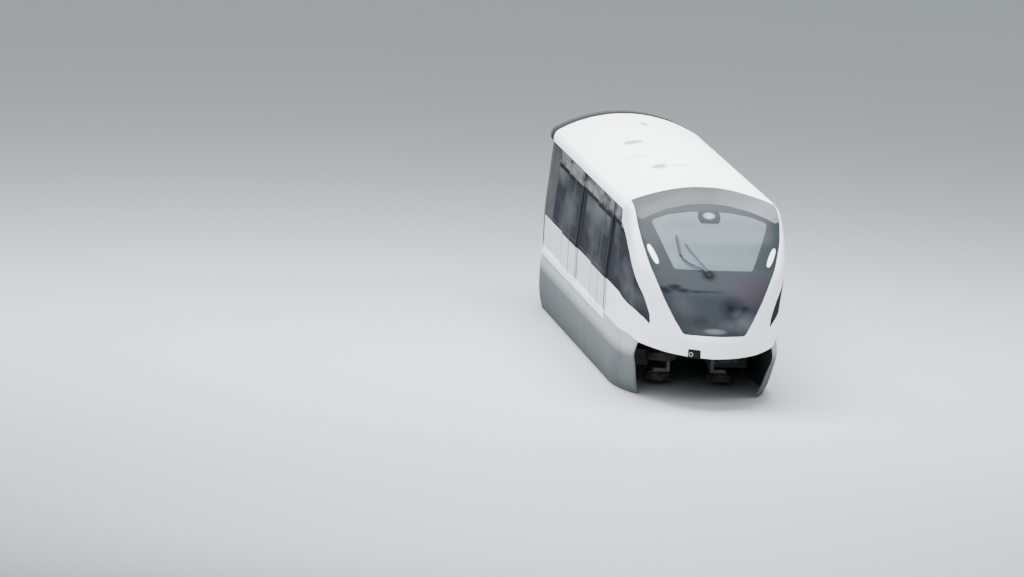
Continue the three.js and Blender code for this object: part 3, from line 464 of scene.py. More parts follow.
def keep_inside(piece, outline, low=FAR_AHEAD, high=0.0, axis="y"):
    boolean(piece, prism(outline, axis, low, high), "INTERSECT")


def cut_out(piece, outline, low=FAR_AHEAD, high=0.0, axis="y"):
    boolean(piece, prism(outline, axis, low, high), "DIFFERENCE")


def cut_by_plane(piece, place, normal):
    """Drops what lies on the side that the normal points to, and closes the cut."""
    in_edit(piece, lambda: bpy.ops.mesh.bisect(
        plane_co=place, plane_no=normal, use_fill=True, clear_inner=False, clear_outer=True))


mask_outline = rounded(both_sides(MASK_HALF))
screen_outline = rounded(both_sides(SCREEN_HALF))
visor_outline = rounded(both_sides(VISOR_HALF))
chin_outline = rounded(both_sides(CHIN_HALF))
glass_outline = rounded(CAB_GLASS)
top_lamp_outline = rounded(both_sides(TOP_LAMP_HALF))

roof_skin = copy_of(skin, "roof_panel")
cut_by_plane(roof_skin, (0, 0, WALL_TOP_Z), (0, 0, -1))
cut_by_plane(roof_skin, (0, VISOR_BACK_Y, 0), (0, -1, 0))

nose = copy_of(skin, "nose")
cut_by_plane(nose, (0, NOSE_JOIN_Y, 0), (0, 1, 0))

white_frame = copy_of(nose, "white_frame")
keep_inside(white_frame, chin_outline)
behind_visor = [(-2, VISOR_BACK_Y - SEAM), (2, VISOR_BACK_Y - SEAM), (2, 0), (-2, 0)]
cut_out(white_frame, behind_visor, WALL_TOP_Z - UNDERCUT, 4, axis="z")
cut_out(white_frame, offset(mask_outline, SEAM), high=VISOR_BACK_Y)
for side in (-1, 1):
    cut_out(white_frame, offset(glass_outline, SEAM), *on_side(side, *GLASS_X), axis="x")
cut_out(white_frame, rounded(TOW_HATCH), high=-7.0)

cab_glass = {}
for name, side in SIDES:
    cab_glass[name] = copy_of(nose, f"cab_side_glass_{name}")
    keep_inside(cab_glass[name], glass_outline, *on_side(side, *GLASS_X), axis="x")

front = copy_of(nose, "front")
cut_by_plane(front, (0, VISOR_BACK_Y - SEAM, 0), (0, 1, 0))
bpy.data.objects.remove(nose)
keep_inside(front, mask_outline)

windscreen = copy_of(front, "windscreen_glass")
keep_inside(windscreen, offset(screen_outline, -0.001))
cut_out(windscreen, offset(top_lamp_outline, 0.001))
top_lamp = copy_of(front, "top_lamp_panel")
keep_inside(top_lamp, top_lamp_outline)
visor = copy_of(front, "visor_panel")
keep_inside(visor, visor_outline)
lamps = {}
bezels = {}
for name, side in SIDES:
    lamps[name] = copy_of(front, f"headlight_lens_{name}")
    bezels[name] = copy_of(front, f"headlight_bezel_{name}")
    keep_inside(lamps[name], lamp_outline(side, -LAMP_RIM))
    keep_inside(bezels[name], lamp_outline(side))
    cut_out(bezels[name], lamp_outline(side, 0.0005 - LAMP_RIM), FAR_AHEAD - 1, 1.0)
mask = copy_of(front, "mask_panel")
cut_out(mask, offset(screen_outline, 0.0015))
cut_out(mask, offset(visor_outline, SEAM))
cut_out(mask, offset(top_lamp_outline, 0.001))
for side in (-1, 1):
    cut_out(mask, lamp_outline(side, SEAM))
bpy.data.objects.remove(front)

# Paints of the nose
# Gloss two-pack paint with faint orange peel and a film of road dust that gathers towards the lower edges.


def new_node(near, kind, inputs=None):
    """A new node in the tree of the given node or output."""
    node = near.id_data.nodes.new(f"ShaderNode{kind}")
    for name, value in (inputs or {}).items():
        feed(node, name, value)
    return node


def coordinates(near):
    return new_node(near, "TexCoord").outputs["Object"]


def axes(near):
    """The place of the surface along X, Y and Z."""
    return new_node(near, "SeparateXYZ", {"Vector": coordinates(near)}).outputs


def noise(near, scale, detail=4, roughness=0.55, stretch=(1, 1, 1)):
    mapping = new_node(near, "Mapping", {"Vector": coordinates(near), "Scale": stretch})
    inputs = {"Vector": mapping.outputs["Vector"], "Scale": scale, "Detail": detail, "Roughness": roughness}
    return new_node(near, "TexNoise", inputs).outputs["Fac"]


def ranged(value, low, high, to_low=0.0, to_high=1.0):
    inputs = {"Value": value, "From Min": low, "From Max": high, "To Min": to_low, "To Max": to_high}
    return new_node(value, "MapRange", inputs).outputs["Result"]


def calculated(operation, *values):
    near = next(value for value in values if isinstance(value, bpy.types.NodeSocket))
    node = new_node(near, "Math", dict(enumerate(values)))
    node.operation = operation
    return node.outputs["Value"]


def times(first, second):
    return calculated("MULTIPLY", first, second)


def plus(first, second):
    return calculated("ADD", first, second)


def larger(first, second):
    return calculated("MAXIMUM", first, second)


def above(value, level):
    return calculated("GREATER_THAN", value, level)


def below(value, level):
    return calculated("LESS_THAN", value, level)


def mixed(share, first, second):
    """The first colour where the share is 0, the second where it is 1."""
    near = next(value for value in (share, first, second) if isinstance(value, bpy.types.NodeSocket))
    node = new_node(near, "Mix")
    node.data_type = "RGBA"
    for socket, value in zip((0, 6, 7), (share, first, second)):
        feed(node, socket, value)
    return node.outputs[2]


def bumped(shader, height, distance, strength=0.5):
    bump = new_node(shader, "Bump", {"Strength": strength, "Distance": distance, "Height": height})
    feed(shader, "Normal", bump.outputs["Normal"])


def gloss_off_edge(shader, level, coat, share=1.0):
    """Gloss that fades where the surface is seen at a very flat angle, as on dusty glass and old paint."""
    facing = new_node(shader, "LayerWeight", {"Blend": 0.5}).outputs["Facing"]
    for name, most in (("Specular IOR Level", level), ("Coat Weight", coat)):
        feed(shader, name, most)
        feed(shader, name, times(ranged(facing, 0.30, 0.70, most, 0.0), share))


def spot(near, place, radii):
    """A soft spot: 1 at its place, falling to 0 at its radii."""
    mapping = new_node(near, "Mapping", {"Vector": coordinates(near)})
    feed(mapping, "Location", tuple(-at / radius for at, radius in zip(place, radii)))
    feed(mapping, "Scale", tuple(1 / radius for radius in radii))
    gradient = new_node(near, "TexGradient", {"Vector": mapping.outputs["Vector"]})
    gradient.gradient_type = "SPHERICAL"
    return gradient.outputs["Fac"]


ORANGE_PEEL = 0.0006


def paint(name, colour, dust, roughness=0.3, dusty=0.35, low=-1.0, high=1.4, coat=0.3):
    """Gloss paint under a thin film of dust: blotches, fine runs down the sides and more of it low down."""
    material, shader = new_material(name)
    blotches = noise(shader, 1.7, 6, 0.6)
    runs = noise(shader, 3.0, 5, 0.6, stretch=(9, 9, 0.7))
    depth = ranged(axes(shader)["Z"], high, low, 0.25, 1.0)
    film = times(ranged(blotches, 0.35, 0.75), depth)
    streaks = times(ranged(runs, 0.48, 0.8), depth)
    share = times(plus(film, streaks), dusty)
    feed(shader, "Base Color", mixed(share, colour, dust))
    feed(shader, "Roughness", ranged(share, 0.0, dusty, roughness, roughness + 0.22))
    feed(shader, "Coat Weight", coat)
    feed(shader, "Coat Roughness", 0.12)
    bumped(shader, noise(shader, 260.0, 2), ORANGE_PEEL)
    return material


def dress(piece, material, slot, body, *nodes):
    """Gives a finished piece its material and its body, and hides the nodes that it stands for. The slot is
    not used.
    """
    piece.data.materials.clear()
    piece.data.materials.append(material)
    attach(piece, body)
    if nodes:
        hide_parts(*nodes)


WHITE = (0.85, 0.91, 1.0)
ROAD_DUST = (0.33, 0.32, 0.30)
white_paint = paint("white_nose_paint", WHITE, ROAD_DUST, roughness=0.26, dusty=0.16)
smooth(white_frame)
dress(white_frame, white_paint, "white_paint", "car_body", "nose_frame")

# Roof
# One white fibre shell with dark marks at three spots, the dark grilles of roof fittings and the painted
# shade they cast, and a dirt film along the shoulders.
ROOF_WHITE = (0.96, 0.98, 1.0)
ROOF_DIRT_AND_SHADE = (0.30, 0.32, 0.35)
ROOF_END_RING = (0.030, 0.033, 0.036)
ROOF_END_RING_Y = 5.10
# place, radii, how dark; dark grilles and painted shade of the roof fittings
ROOF_SHADE_MARKS = [
    ((0.085, 3.55, 3.10), (0.10, 0.30, 0.30), 0.55),
    ((-0.50, 1.04, 3.06), (0.26, 0.34, 0.30), 0.60),
    ((-0.50, -2.45, 3.06), (0.20, 0.36, 0.30), 0.60),
    ((-0.08, -2.45, 3.09), (0.30, 0.30, 0.30), 0.18),
    ((-0.70, -0.75, 3.02), (0.28, 0.40, 0.30), 0.16),
]
roof_paint, shader = new_material("roof_paint")
# Painted shade: the marks darken the white round the roof fittings, and the dirt film adds to them.
shade_marks = 0.0
for place, radii, dark in ROOF_SHADE_MARKS:
    shade_marks = larger(times(spot(shader, place, radii), dark), shade_marks)
grime = ranged(noise(shader, 2.2, 6, 0.62, stretch=(1.4, 0.25, 1.4)), 0.5, 0.85, 0, 0.14)
share = plus(times(shade_marks, 3.4), grime)
tone = mixed(share, ROOF_WHITE, ROOF_DIRT_AND_SHADE)
at_end = above(axes(shader)["Y"], ROOF_END_RING_Y)
feed(shader, "Base Color", mixed(at_end, tone, ROOF_END_RING))
feed(shader, "Roughness", 0.42)
gloss_off_edge(shader, 0.45, 0.15)
bumped(shader, noise(shader, 2.6, 2), 0.004, 0.3)
smooth(roof_skin)
dress(roof_skin, roof_paint, "roof_paint", "car_body", "roof")

# Dark mask and visor
# Satin grey moulding round the windscreen, darker low down, with its reflections painted in as tones by
# height and soft pale and dark spots. Its upper part is the paler sloped visor.
MASK_COLOUR = (0.026, 0.031, 0.037)
MASK_MIDDLE_REFLECTION = (0.040, 0.047, 0.054)
MASK_UPPER_REFLECTION = (0.024, 0.031, 0.035)
MASK_SHADE_TONE = (0.008, 0.010, 0.013)
MASK_REFLECTION_TONE = (0.11, 0.12, 0.13)
# Painted reflection: a faint violet tint in one soft spot on the mask.
MASK_VIOLET_REFLECTION = (0.045, 0.041, 0.052)
VIOLET_REFLECTION_SPOT = ((0.74, -6.9, 1.30), (0.55, 1.2, 0.42))
VISOR_COLOUR = (0.058, 0.066, 0.072)
VISOR_LIT = (0.150, 0.164, 0.185)
# painted reflection: heights between which the mask's lower tone turns into its middle one, and that into its
# upper one
MIDDLE_Z = (1.14, 1.36)
UPPER_Z = (1.58, 1.78)
# place, radii, how strong; the first group is painted shade that darkens the mask, the second painted
# reflections that lighten it
SHADE_SPOTS = [
    ((-0.34, -7.17, 0.72), (0.28, 1.2, 0.16), 1.1), ((0.34, -7.16, 1.00), (0.32, 1.2, 0.24), 1.1),
    ((-0.93, -6.90, 1.27), (0.20, 0.9, 0.09), 1.3), ((-0.78, -6.90, 1.33), (0.19, 0.9, 0.08), 1.4),
    ((-0.62, -6.95, 1.28), (0.20, 0.9, 0.06), 1.2), ((-0.28, -7.02, 1.27), (0.60, 0.9, 0.032), 1.0),
    ((0.57, -7.15, 0.99), (0.17, 0.9, 0.08), 1.0), ((-0.09, -6.775, 1.56), (0.18, 0.9, 0.12), 1.2),
]
REFLECTION_SPOTS = [
    ((0.0, -7.37, 0.560), (0.27, 0.9, 0.065), 1.6), ((0.42, -7.12, 0.90), (0.15, 0.9, 0.11), 0.7),
    ((0.62, -7.16, 0.70), (0.34, 0.9, 0.24), 0.7), ((-0.70, -7.1, 1.02), (0.36, 0.9, 0.26), 0.15),
    ((0.30, -7.2, 0.66), (0.30, 0.9, 0.14), 0.35),
]


def spotted(shader, spots):
    total = 0.0
    for place, radii, strength in spots:
        total = larger(times(spot(shader, place, radii), strength), total)
    ragged = ranged(noise(shader, 5.0, 5), 0.25, 0.75, 0.55, 1.35)
    return calculated("MINIMUM", times(total, ragged), 1.0)


mask_material, shader = new_material("dark_mask_gloss")
up = axes(shader)["Z"]
tone = mixed(ranged(up, *MIDDLE_Z), MASK_COLOUR, MASK_MIDDLE_REFLECTION)
tone = mixed(ranged(up, *UPPER_Z), tone, MASK_UPPER_REFLECTION)
tone = mixed(ranged(spot(shader, *VIOLET_REFLECTION_SPOT), 0.0, 0.6), tone, MASK_VIOLET_REFLECTION)
tone = mixed(spotted(shader, REFLECTION_SPOTS), tone, MASK_REFLECTION_TONE)
tone = mixed(spotted(shader, SHADE_SPOTS), tone, MASK_SHADE_TONE)
feed(shader, "Base Color", tone)
feed(shader, "Roughness", 0.38)
feed(shader, "Coat Roughness", 0.25)
gloss_off_edge(shader, 0.08, 0.02)
smooth(mask)
dress(mask, mask_material, "dark_mask", "car_body", "front_mask")

visor_material, shader = new_material("visor_gloss")
lit = ranged(axes(shader)["X"], 0.1, 1.1)
smear = ranged(noise(shader, 2.0, 5, stretch=(1, 1, 2)), 0.35, 0.75, 0.0, 0.4)
tone = mixed(lit, VISOR_COLOUR, VISOR_LIT)
feed(shader, "Base Color", mixed(smear, tone, VISOR_COLOUR))
feed(shader, "Roughness", 0.38)
gloss_off_edge(shader, 0.10, 0.03)
smooth(visor)
dress(visor, visor_material, "dark_mask", "car_body", "visor")

# Glass
# Tinted flush panes along the sides and a paler windscreen, a little dusty and smeared with painted
# reflections. Black posts, which also carry painted shade at the door leaves' front edges, and a grey strip
# mottled with painted reflections stand behind the side glass.
TINT = (0.027, 0.029, 0.036)
TINT_REFLECTION = (0.094, 0.100, 0.104)
SCREEN_TINT = (0.056, 0.090, 0.106)
SCREEN_REFLECTION = (0.072, 0.104, 0.121)
SCREEN_LOW_REFLECTION = (0.105, 0.146, 0.170)
# heights over which the painted reflection low on the screen fades and the screen darkens, and between which
# its gloss falls to a share
SCREEN_LOW_Z = (1.60, 2.10)
SCREEN_DULL_Z = (1.90, 2.45)
SCREEN_DULL = 0.76
# places along the car between which the side glass gains its gloss
DULL_END_Y = (-6.2, -5.2)
# front and rear edges Y of the black posts, which also carry the painted shade ahead of the door leaves'
# front edges
BLACK_POSTS_AND_EDGE_SHADE = [(-3.60, -3.04), (0.34, 0.98)]
POST_AND_SHADE_COLOUR = (0.020, 0.022, 0.027)
STRIP_LINE_Z = (2.10, 2.16)
# Painted reflection: the strip's pale grey, mottled with its dark tone.
STRIP_REFLECTION_GREY = (0.150, 0.158, 0.160)
STRIP_DARK = (0.033, 0.035, 0.041)
STRIP_LINE = (0.017, 0.019, 0.022)


def within(value, low, high):
    return times(above(value, low), below(value, high))


def black_posts_and_edge_shade(along):
    """1 on the black posts behind the glass band, which also stand for the painted shade at the door leaves'
    front edges.
    """
    share = 0.0
    for low, high in BLACK_POSTS_AND_EDGE_SHADE:
        share = larger(within(along, low, high), share)
    return share


def reflection_smears(shader):
    """Painted reflection: broad soft pale smears that run on from pane to pane, a little stronger towards the
    upper edge.
    """
    broad = noise(shader, 1.5, 2, 0.45, stretch=(1.0, 0.24, 0.85))
    fine = noise(shader, 4.0, 2, 0.4, stretch=(1.0, 0.25, 0.5))
    both = plus(times(fine, 0.14), broad)
    raised = ranged(axes(shader)["Z"], 0.9, 2.4, -0.05, 0.05)
    return ranged(plus(both, raised), 0.50, 0.84)


def under_roof(tone):
    """Adds the grey strip that runs along under the roof, mottled with pale painted reflections, and the dark
    line below it.
    """
    up = axes(tone)["Z"]
    reflection_mottle = noise(tone, 1.7, 3, 0.5, stretch=(1.0, 0.75, 2.0))
    strip = mixed(ranged(reflection_mottle, 0.48, 0.64), STRIP_REFLECTION_GREY, STRIP_DARK)
    tone = mixed(ranged(up, STRIP_LINE_Z[0] - 0.03, STRIP_LINE_Z[0]), tone, STRIP_LINE)
    return mixed(ranged(up, STRIP_LINE_Z[1], STRIP_LINE_Z[1] + 0.02), tone, strip)


def glass(name, colour, reflection_tone, alpha, roughness=0.10, level=0.4, coat=0.05, posted=True):
    material, shader = new_material(name)
    # Painted reflection: the smears lighten the glass towards its pale tone.
    smear = reflection_smears(shader)
    tone = mixed(smear, colour, reflection_tone)
    place = axes(shader)
    if posted:
        tone = mixed(black_posts_and_edge_shade(place["Y"]), tone, POST_AND_SHADE_COLOUR)
        tone = under_roof(tone)
        share = ranged(place["Y"], *DULL_END_Y)
    else:
        # Painted reflection: the windscreen is paler low down.
        tone = mixed(ranged(place["Z"], *SCREEN_LOW_Z), SCREEN_LOW_REFLECTION, tone)
        share = ranged(place["Z"], *SCREEN_DULL_Z, 1.0, SCREEN_DULL)
    feed(shader, "Base Color", tone)
    feed(shader, "Roughness", ranged(smear, 0.0, 1.0, roughness, roughness + 0.08))
    feed(shader, "Alpha", alpha)
    feed(shader, "Coat Roughness", 0.10)
    gloss_off_edge(shader, level, coat, share)
    return material


tinted_glass = glass("tinted_side_glass", TINT, TINT_REFLECTION, 0.90)
screen_glass = glass(
    "windscreen_glass", SCREEN_TINT, SCREEN_REFLECTION, 0.95, roughness=0.25, level=0.25, coat=0.08, posted=False)
for name, piece in cab_glass.items():
    smooth(piece)
    dress(piece, tinted_glass, "tinted_glass", "car_body", f"cab_glass_{name}")
smooth(windscreen)
dress(windscreen, screen_glass, "screen_glass", "car_body", "windscreen")


def refinish(name, material):
    """Gives a piece of the construction model its real material."""
    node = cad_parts[name]
    node.data.materials.clear()
    node.data.materials.append(material)


for side in ("left", "right"):
    for place in ("mid", "rear"):
        refinish(f"window_{place}_{side}", tinted_glass)

# Headlights
# Clear slanted ovals beside the windscreen, bright white inside, each in a thin grey surround.
lens_material, shader = new_material("headlight_lens")
feed(shader, "Base Color", (0.95, 0.97, 1.0))
feed(shader, "Roughness", 0.12)
feed(shader, "Emission Color", (0.95, 0.98, 1.0))
feed(shader, "Emission Strength", 0.60)
for name, piece in lamps.items():
    smooth(piece)
    dress(piece, lens_material, "lamp_lens", "car_body", f"headlight_{name}")
bezel_paint = paint("headlight_bezel", (0.20, 0.22, 0.23), ROAD_DUST, roughness=0.4, dusty=0.3, coat=0.0)
for name, piece in bezels.items():
    smooth(piece)
    dress(piece, bezel_paint, "dark_mask", "car_body")

# Top lamp panel
# A dark flush pane over the windscreen's middle with a white lamp glowing behind it.
TOP_LAMP_SPOT = ((0.0, -5.86, 2.585), (0.15, 0.5, 0.075))
top_lamp_material, shader = new_material("top_lamp_glass")
glow = ranged(spot(shader, *TOP_LAMP_SPOT), 0.10, 0.60)
feed(shader, "Base Color", mixed(glow, (0.020, 0.024, 0.028), (0.26, 0.31, 0.34)))
feed(shader, "Roughness", 0.4)
gloss_off_edge(shader, 0.08, 0.0)
smooth(top_lamp)
dress(top_lamp, top_lamp_material, "dark_mask", "car_body")

# Tow hatch
# A small pocket in the chin's lower edge: a dark liner round a bright steel towing eye.
POCKET_DEPTH = 0.16
POCKET_WALL = 0.004
POCKET_BACK = 0.006
EYE_RADIUS = 0.036
EYE_THICKNESS = 0.010
EYE_AT = (-0.43, 0.085)
pocket_outline = offset(rounded(TOW_HATCH), -0.0005)
pocket_front = front_y(-0.50, 0.10) + 0.005
pocket = prism(pocket_outline, "y", pocket_front, pocket_front + POCKET_DEPTH)
pocket.name = "tow_pocket"
pocket_end = pocket_front + POCKET_DEPTH - POCKET_BACK
cut_out(pocket, offset(pocket_outline, -POCKET_WALL), pocket_front - 0.1, pocket_end)
pocket_material, shader = new_material("pocket_liner")
liner_tone = ranged(noise(shader, 20.0, 4), 0.3, 0.8)
feed(shader, "Base Color", mixed(liner_tone, (0.02, 0.021, 0.023), (0.05, 0.05, 0.05)))
feed(shader, "Roughness", 0.8)
dress(pocket, pocket_material, "bellows_rubber", "car_body")
eye_steel = paint("bare_steel", (0.62, 0.63, 0.64), (0.20, 0.17, 0.14), roughness=0.35, dusty=0.5, coat=0.0)
feed(eye_steel.node_tree.nodes["Principled BSDF"], "Metallic", 0.8)


def torus(radius, thickness, segments, place, turn):
    """A closed ring, turned about the X, Y and Z axes."""
    piece = added(
        bpy.ops.mesh.primitive_torus_add, major_radius=radius, minor_radius=thickness,
        major_segments=segments, minor_segments=10, location=place, rotation=turn)
    bpy.ops.object.transform_apply(location=True, rotation=True, scale=True)
    return piece


eye_place = (EYE_AT[0], pocket_front + 0.05, EYE_AT[1])
eye = torus(EYE_RADIUS, EYE_THICKNESS, 24, eye_place, (math.pi / 2, 0, 0))
eye.name = "tow_eye"
smooth(eye)
dress(eye, eye_steel, "rail_steel", "car_body")

# Windscreen wiper
# A black rubber blade on a bowed pressed-steel arm and a thinner straight link, both held by a dark cover
# at the screen's lower edge.
WIPER_PIVOT = (-0.09, 1.600)
BLADE_ENDS = ((-0.675, 2.235), (-0.620, 1.900))
# (x, z) places along the bowed arm and along the link
ARM_ROUTE = [(-0.620, 1.930), (-0.580, 1.850), (-0.490, 1.785), (-0.380, 1.738), (-0.230, 1.680), WIPER_PIVOT]
LINK_ROUTE = [(-0.520, 2.110), (-0.390, 1.950), (-0.240, 1.790), (-0.070, 1.605)]
ARM_LIFT = 0.040
BLADE_LIFT = 0.027
ARM_RADIUS = 0.014
LINK_RADIUS = 0.009
BLADE_RADIUS = 0.026
PIVOT_RADIUS = 0.070
PIVOT_LENGTH = 0.060
PIVOT_LIFT = 0.020
rubber, shader = new_material("black_rubber")
rubber_tone = ranged(noise(shader, 14.0, 5), 0.3, 0.8)
feed(shader, "Base Color", mixed(rubber_tone, (0.022, 0.023, 0.025), (0.05, 0.05, 0.05)))
feed(shader, "Roughness", 0.75)
feed(shader, "Specular IOR Level", 0.2)


def tube(name, points, radius, sides=10):
    """A closed round bar along a line of points."""
    line = [Vector(point) for point in points]

    def place(s, t):
        at = min(len(line) - 1, round((t + 1) / 2 * (len(line) - 1)))
        along = (line[min(at + 1, len(line) - 1)] - line[max(at - 1, 0)]).normalized()
        first = along.cross(Vector((0.13, 0.93, 0.34))).normalized()
        second = along.cross(first)
        angle = (s + 1) * math.pi
        return line[at] + radius * (math.cos(angle) * first + math.sin(angle) * second)

    piece = grid_piece(name, sides, len(line) - 1, place)
    in_edit(piece, weld, lambda: bpy.ops.mesh.fill_holes(sides=0), face_out)
    return piece


def over_glass(route, lift, steps=6):
    """Points along a route of (x, z) places, held off the nose's skin."""
    points = []
    for start, end in zip(route, route[1:]):
        for i in range(steps):
            x = start[0] + i / steps * (end[0] - start[0])
            z = start[1] + i / steps * (end[1] - start[1])
            points.append((x, front_y(x, z) - lift, z))
    x, z = route[-1]
    return [*points, (x, front_y(x, z) - lift, z)]


wiper_paint = paint(
    "wiper_arm_paint", (0.034, 0.038, 0.042), (0.10, 0.10, 0.10), roughness=0.65, dusty=0.4, coat=0.0)
wiper_parts = [
    tube("wiper_arm", over_glass(ARM_ROUTE, ARM_LIFT), ARM_RADIUS),
    tube("wiper_link", over_glass(LINK_ROUTE, ARM_LIFT), LINK_RADIUS),
    tube("wiper_blade", over_glass(BLADE_ENDS, BLADE_LIFT), BLADE_RADIUS),
]
pivot_place = (WIPER_PIVOT[0], front_y(*WIPER_PIVOT) - PIVOT_LIFT, WIPER_PIVOT[1])
wiper_pivot = added(
    bpy.ops.mesh.primitive_cylinder_add, vertices=24, radius=PIVOT_RADIUS, depth=PIVOT_LENGTH,
    location=pivot_place, rotation=(math.pi / 2, 0, 0))
wiper_pivot.name = "wiper_pivot"
bpy.ops.object.transform_apply(location=True, rotation=True, scale=True)
modify(wiper_pivot, "BEVEL", width=0.006, segments=3)
for piece in wiper_parts:
    smooth(piece, 40)
    dress(piece, wiper_paint, "bellows_rubber", "car_body")
smooth(wiper_pivot, 40)
dress(wiper_pivot, rubber, "bellows_rubber", "car_body")

# Side walls and door leaves
# One leaning panel a side, faced above with a flush dark band smeared with painted reflections, under a grey
# strip mottled with painted reflections, and painted below. The last metre of the band is plain grey, and the
# posts ahead of the doors are black, partly as painted shade at the leaves' front edges that runs on down the
# belt.
BAND_LOW_Z = 0.93
END_PANEL_Y = 4.40
# painted shade: front and rear edges Y of the darker streaks under the posts, the shade of the door leaves'
# front edges
BELT_SHADE_LINES = [(-3.28, -3.17), (0.69, 0.80)]
BELT_COLOUR = (0.545, 0.58, 0.64)
END_PANEL_COLOUR = (0.052, 0.057, 0.060)
LINING_COLOUR = (0.55, 0.56, 0.56)
SILL_COLOUR = (0.86, 0.90, 0.95)
SILL_TOP_Z = 0.315


def wall_material(name, end_panel=True):
    material, shader = new_material(name)
    place = axes(shader)
    across = calculated("ABSOLUTE", place["X"], 0.0)
    lean = ranged(place["Z"], KNEE_Z, WALL_TOP_Z, WALL_HALF, WALL_TOP_HALF)
    inside = below(calculated("SUBTRACT", across, lean), -0.03)
    blotches = noise(shader, 2.1, 6, 0.6)
    runs = noise(shader, 3.2, 5, 0.6, stretch=(8, 8, 0.6))
    film = times(ranged(blotches, 0.4, 0.8, 0.0, 0.22), ranged(place["Z"], 1.6, 0.1, 0.3, 1.0))
    streaks = ranged(runs, 0.5, 0.85, 0.0, 0.16)
    share = plus(film, streaks)
    belt = mixed(share, BELT_COLOUR, ROAD_DUST)
    # Painted reflection: the same smears lighten the dark band.
    band = mixed(reflection_smears(shader), TINT, TINT_REFLECTION)
    band = mixed(black_posts_and_edge_shade(place["Y"]), band, POST_AND_SHADE_COLOUR)
    # Painted shade: thin dark lines down the belt under the posts.
    for low, high in BELT_SHADE_LINES:
        belt = mixed(times(within(place["Y"], low, high), 0.6), belt, POST_AND_SHADE_COLOUR)
    belt = mixed(below(place["Z"], SILL_TOP_Z), belt, SILL_COLOUR)
    band = under_roof(band)
    if end_panel:
        at_end = above(place["Y"], END_PANEL_Y)
        band = mixed(at_end, band, mixed(share, END_PANEL_COLOUR, ROAD_DUST))
    in_band = above(place["Z"], BAND_LOW_Z)
    outside = mixed(in_band, belt, band)
    feed(shader, "Base Color", mixed(inside, outside, LINING_COLOUR))
    gloss = ranged(in_band, 0.0, 1.0, 0.32, 0.10)
    feed(shader, "Roughness", plus(gloss, share))
    feed(shader, "Coat Roughness", 0.06)
    gloss_off_edge(shader, 0.4, 0.3)
    bumped(shader, noise(shader, 240.0, 2), 0.0005)
    return material


side_paint = wall_material("side_wall_paint")
leaf_paint = wall_material("door_leaf_paint", end_panel=False)
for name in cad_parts:
    if name.startswith("side_wall"):
        refinish(name, side_paint)
    if name.startswith("door_") and "track" not in name:
        refinish(name, leaf_paint)

# Window gaskets and door glazing
# Thin black rubber frames round the flush panes. Each sliding leaf has its own pane, and soft rubber noses
# along its upright edges.
LEAF_OUT = 0.032
LEAF_LAP = 0.05
LEAF_MEET = 0.003
LEAF_STILE = 0.11
LEAF_Z = (0.25, 2.455)
LEAF_WINDOW_Z = (1.04, 2.33)
WALL_WINDOW_Z = (1.01, 2.33)
GASKET_WIDTH = 0.016
GASKET_PROUD = 0.0007
EDGE_WIDTH = 0.020
EDGE_PROUD = 0.0015
# outer and inner face of a leaf's pane
PANE_OUT = (LEAF_OUT - 0.002, LEAF_OUT - 0.010)
# name, front edge Y, rear edge Y
DOORS = [("front", NOSE_JOIN_Y, -1.35), ("rear", 0.85, 2.75)]
WALL_WINDOWS = [("mid", -1.19, 0.69), ("rear", 2.95, 4.35)]


def leaning_slab(side, out, inward, z, y):
    """A slab that follows the leaning wall, between two distances from the wall's face."""
    levels = [z[0], *([KNEE_Z] if z[0] < KNEE_Z < z[1] else []), z[1]]
    outline = [(side * (wall_x(level) + out), level) for level in levels]
    outline += [(side * (wall_x(level) + inward), level) for level in reversed(levels)]
    return prism(outline, "y", y[0], y[1])


def gasket(side, face, z, y):
    """A rubber ring round an opening whose edges are given."""
    z_out = (z[0] - GASKET_WIDTH, z[1] + GASKET_WIDTH)
    y_out = (y[0] - GASKET_WIDTH, y[1] + GASKET_WIDTH)
    piece = leaning_slab(side, face + GASKET_PROUD, face - 0.006, z_out, y_out)
    boolean(piece, leaning_slab(side, face + 0.05, face - 0.05, z, y), "DIFFERENCE")
    return piece


for name, side in SIDES:
    for place, y0, y1 in WALL_WINDOWS:
        ring = gasket(side, 0.0, WALL_WINDOW_Z, (y0, y1))
        ring.name = f"window_gasket_{place}_{name}"
        dress(ring, rubber, "bellows_rubber", "car_body")
    for door, y0, y1 in DOORS:
        middle = (y0 + y1) / 2
        leaves = (("fore", y0 - LEAF_LAP, middle - LEAF_MEET), ("aft", middle + LEAF_MEET, y1 + LEAF_LAP))
        for half, start, end in leaves:
            leaf = f"{door}_{half}_{name}"
            body = f"door_{leaf}"
            opening = (start + LEAF_STILE, end - LEAF_STILE)
            pane = leaning_slab(side, *PANE_OUT, LEAF_WINDOW_Z, opening)
            pane.name = f"door_pane_{leaf}"
            dress(pane, tinted_glass, "tinted_glass", body)
            ring = gasket(side, LEAF_OUT, LEAF_WINDOW_Z, opening)
            ring.name = f"door_gasket_{leaf}"
            dress(ring, rubber, "bellows_rubber", body)
            for edge in ((start, start + EDGE_WIDTH), (end - EDGE_WIDTH, end)):
                strip = leaning_slab(side, LEAF_OUT + EDGE_PROUD, LEAF_OUT - 0.002, LEAF_Z, edge)
                strip.name = f"door_edge_rubber_{leaf}"
                dress(strip, rubber, "bellows_rubber", body)

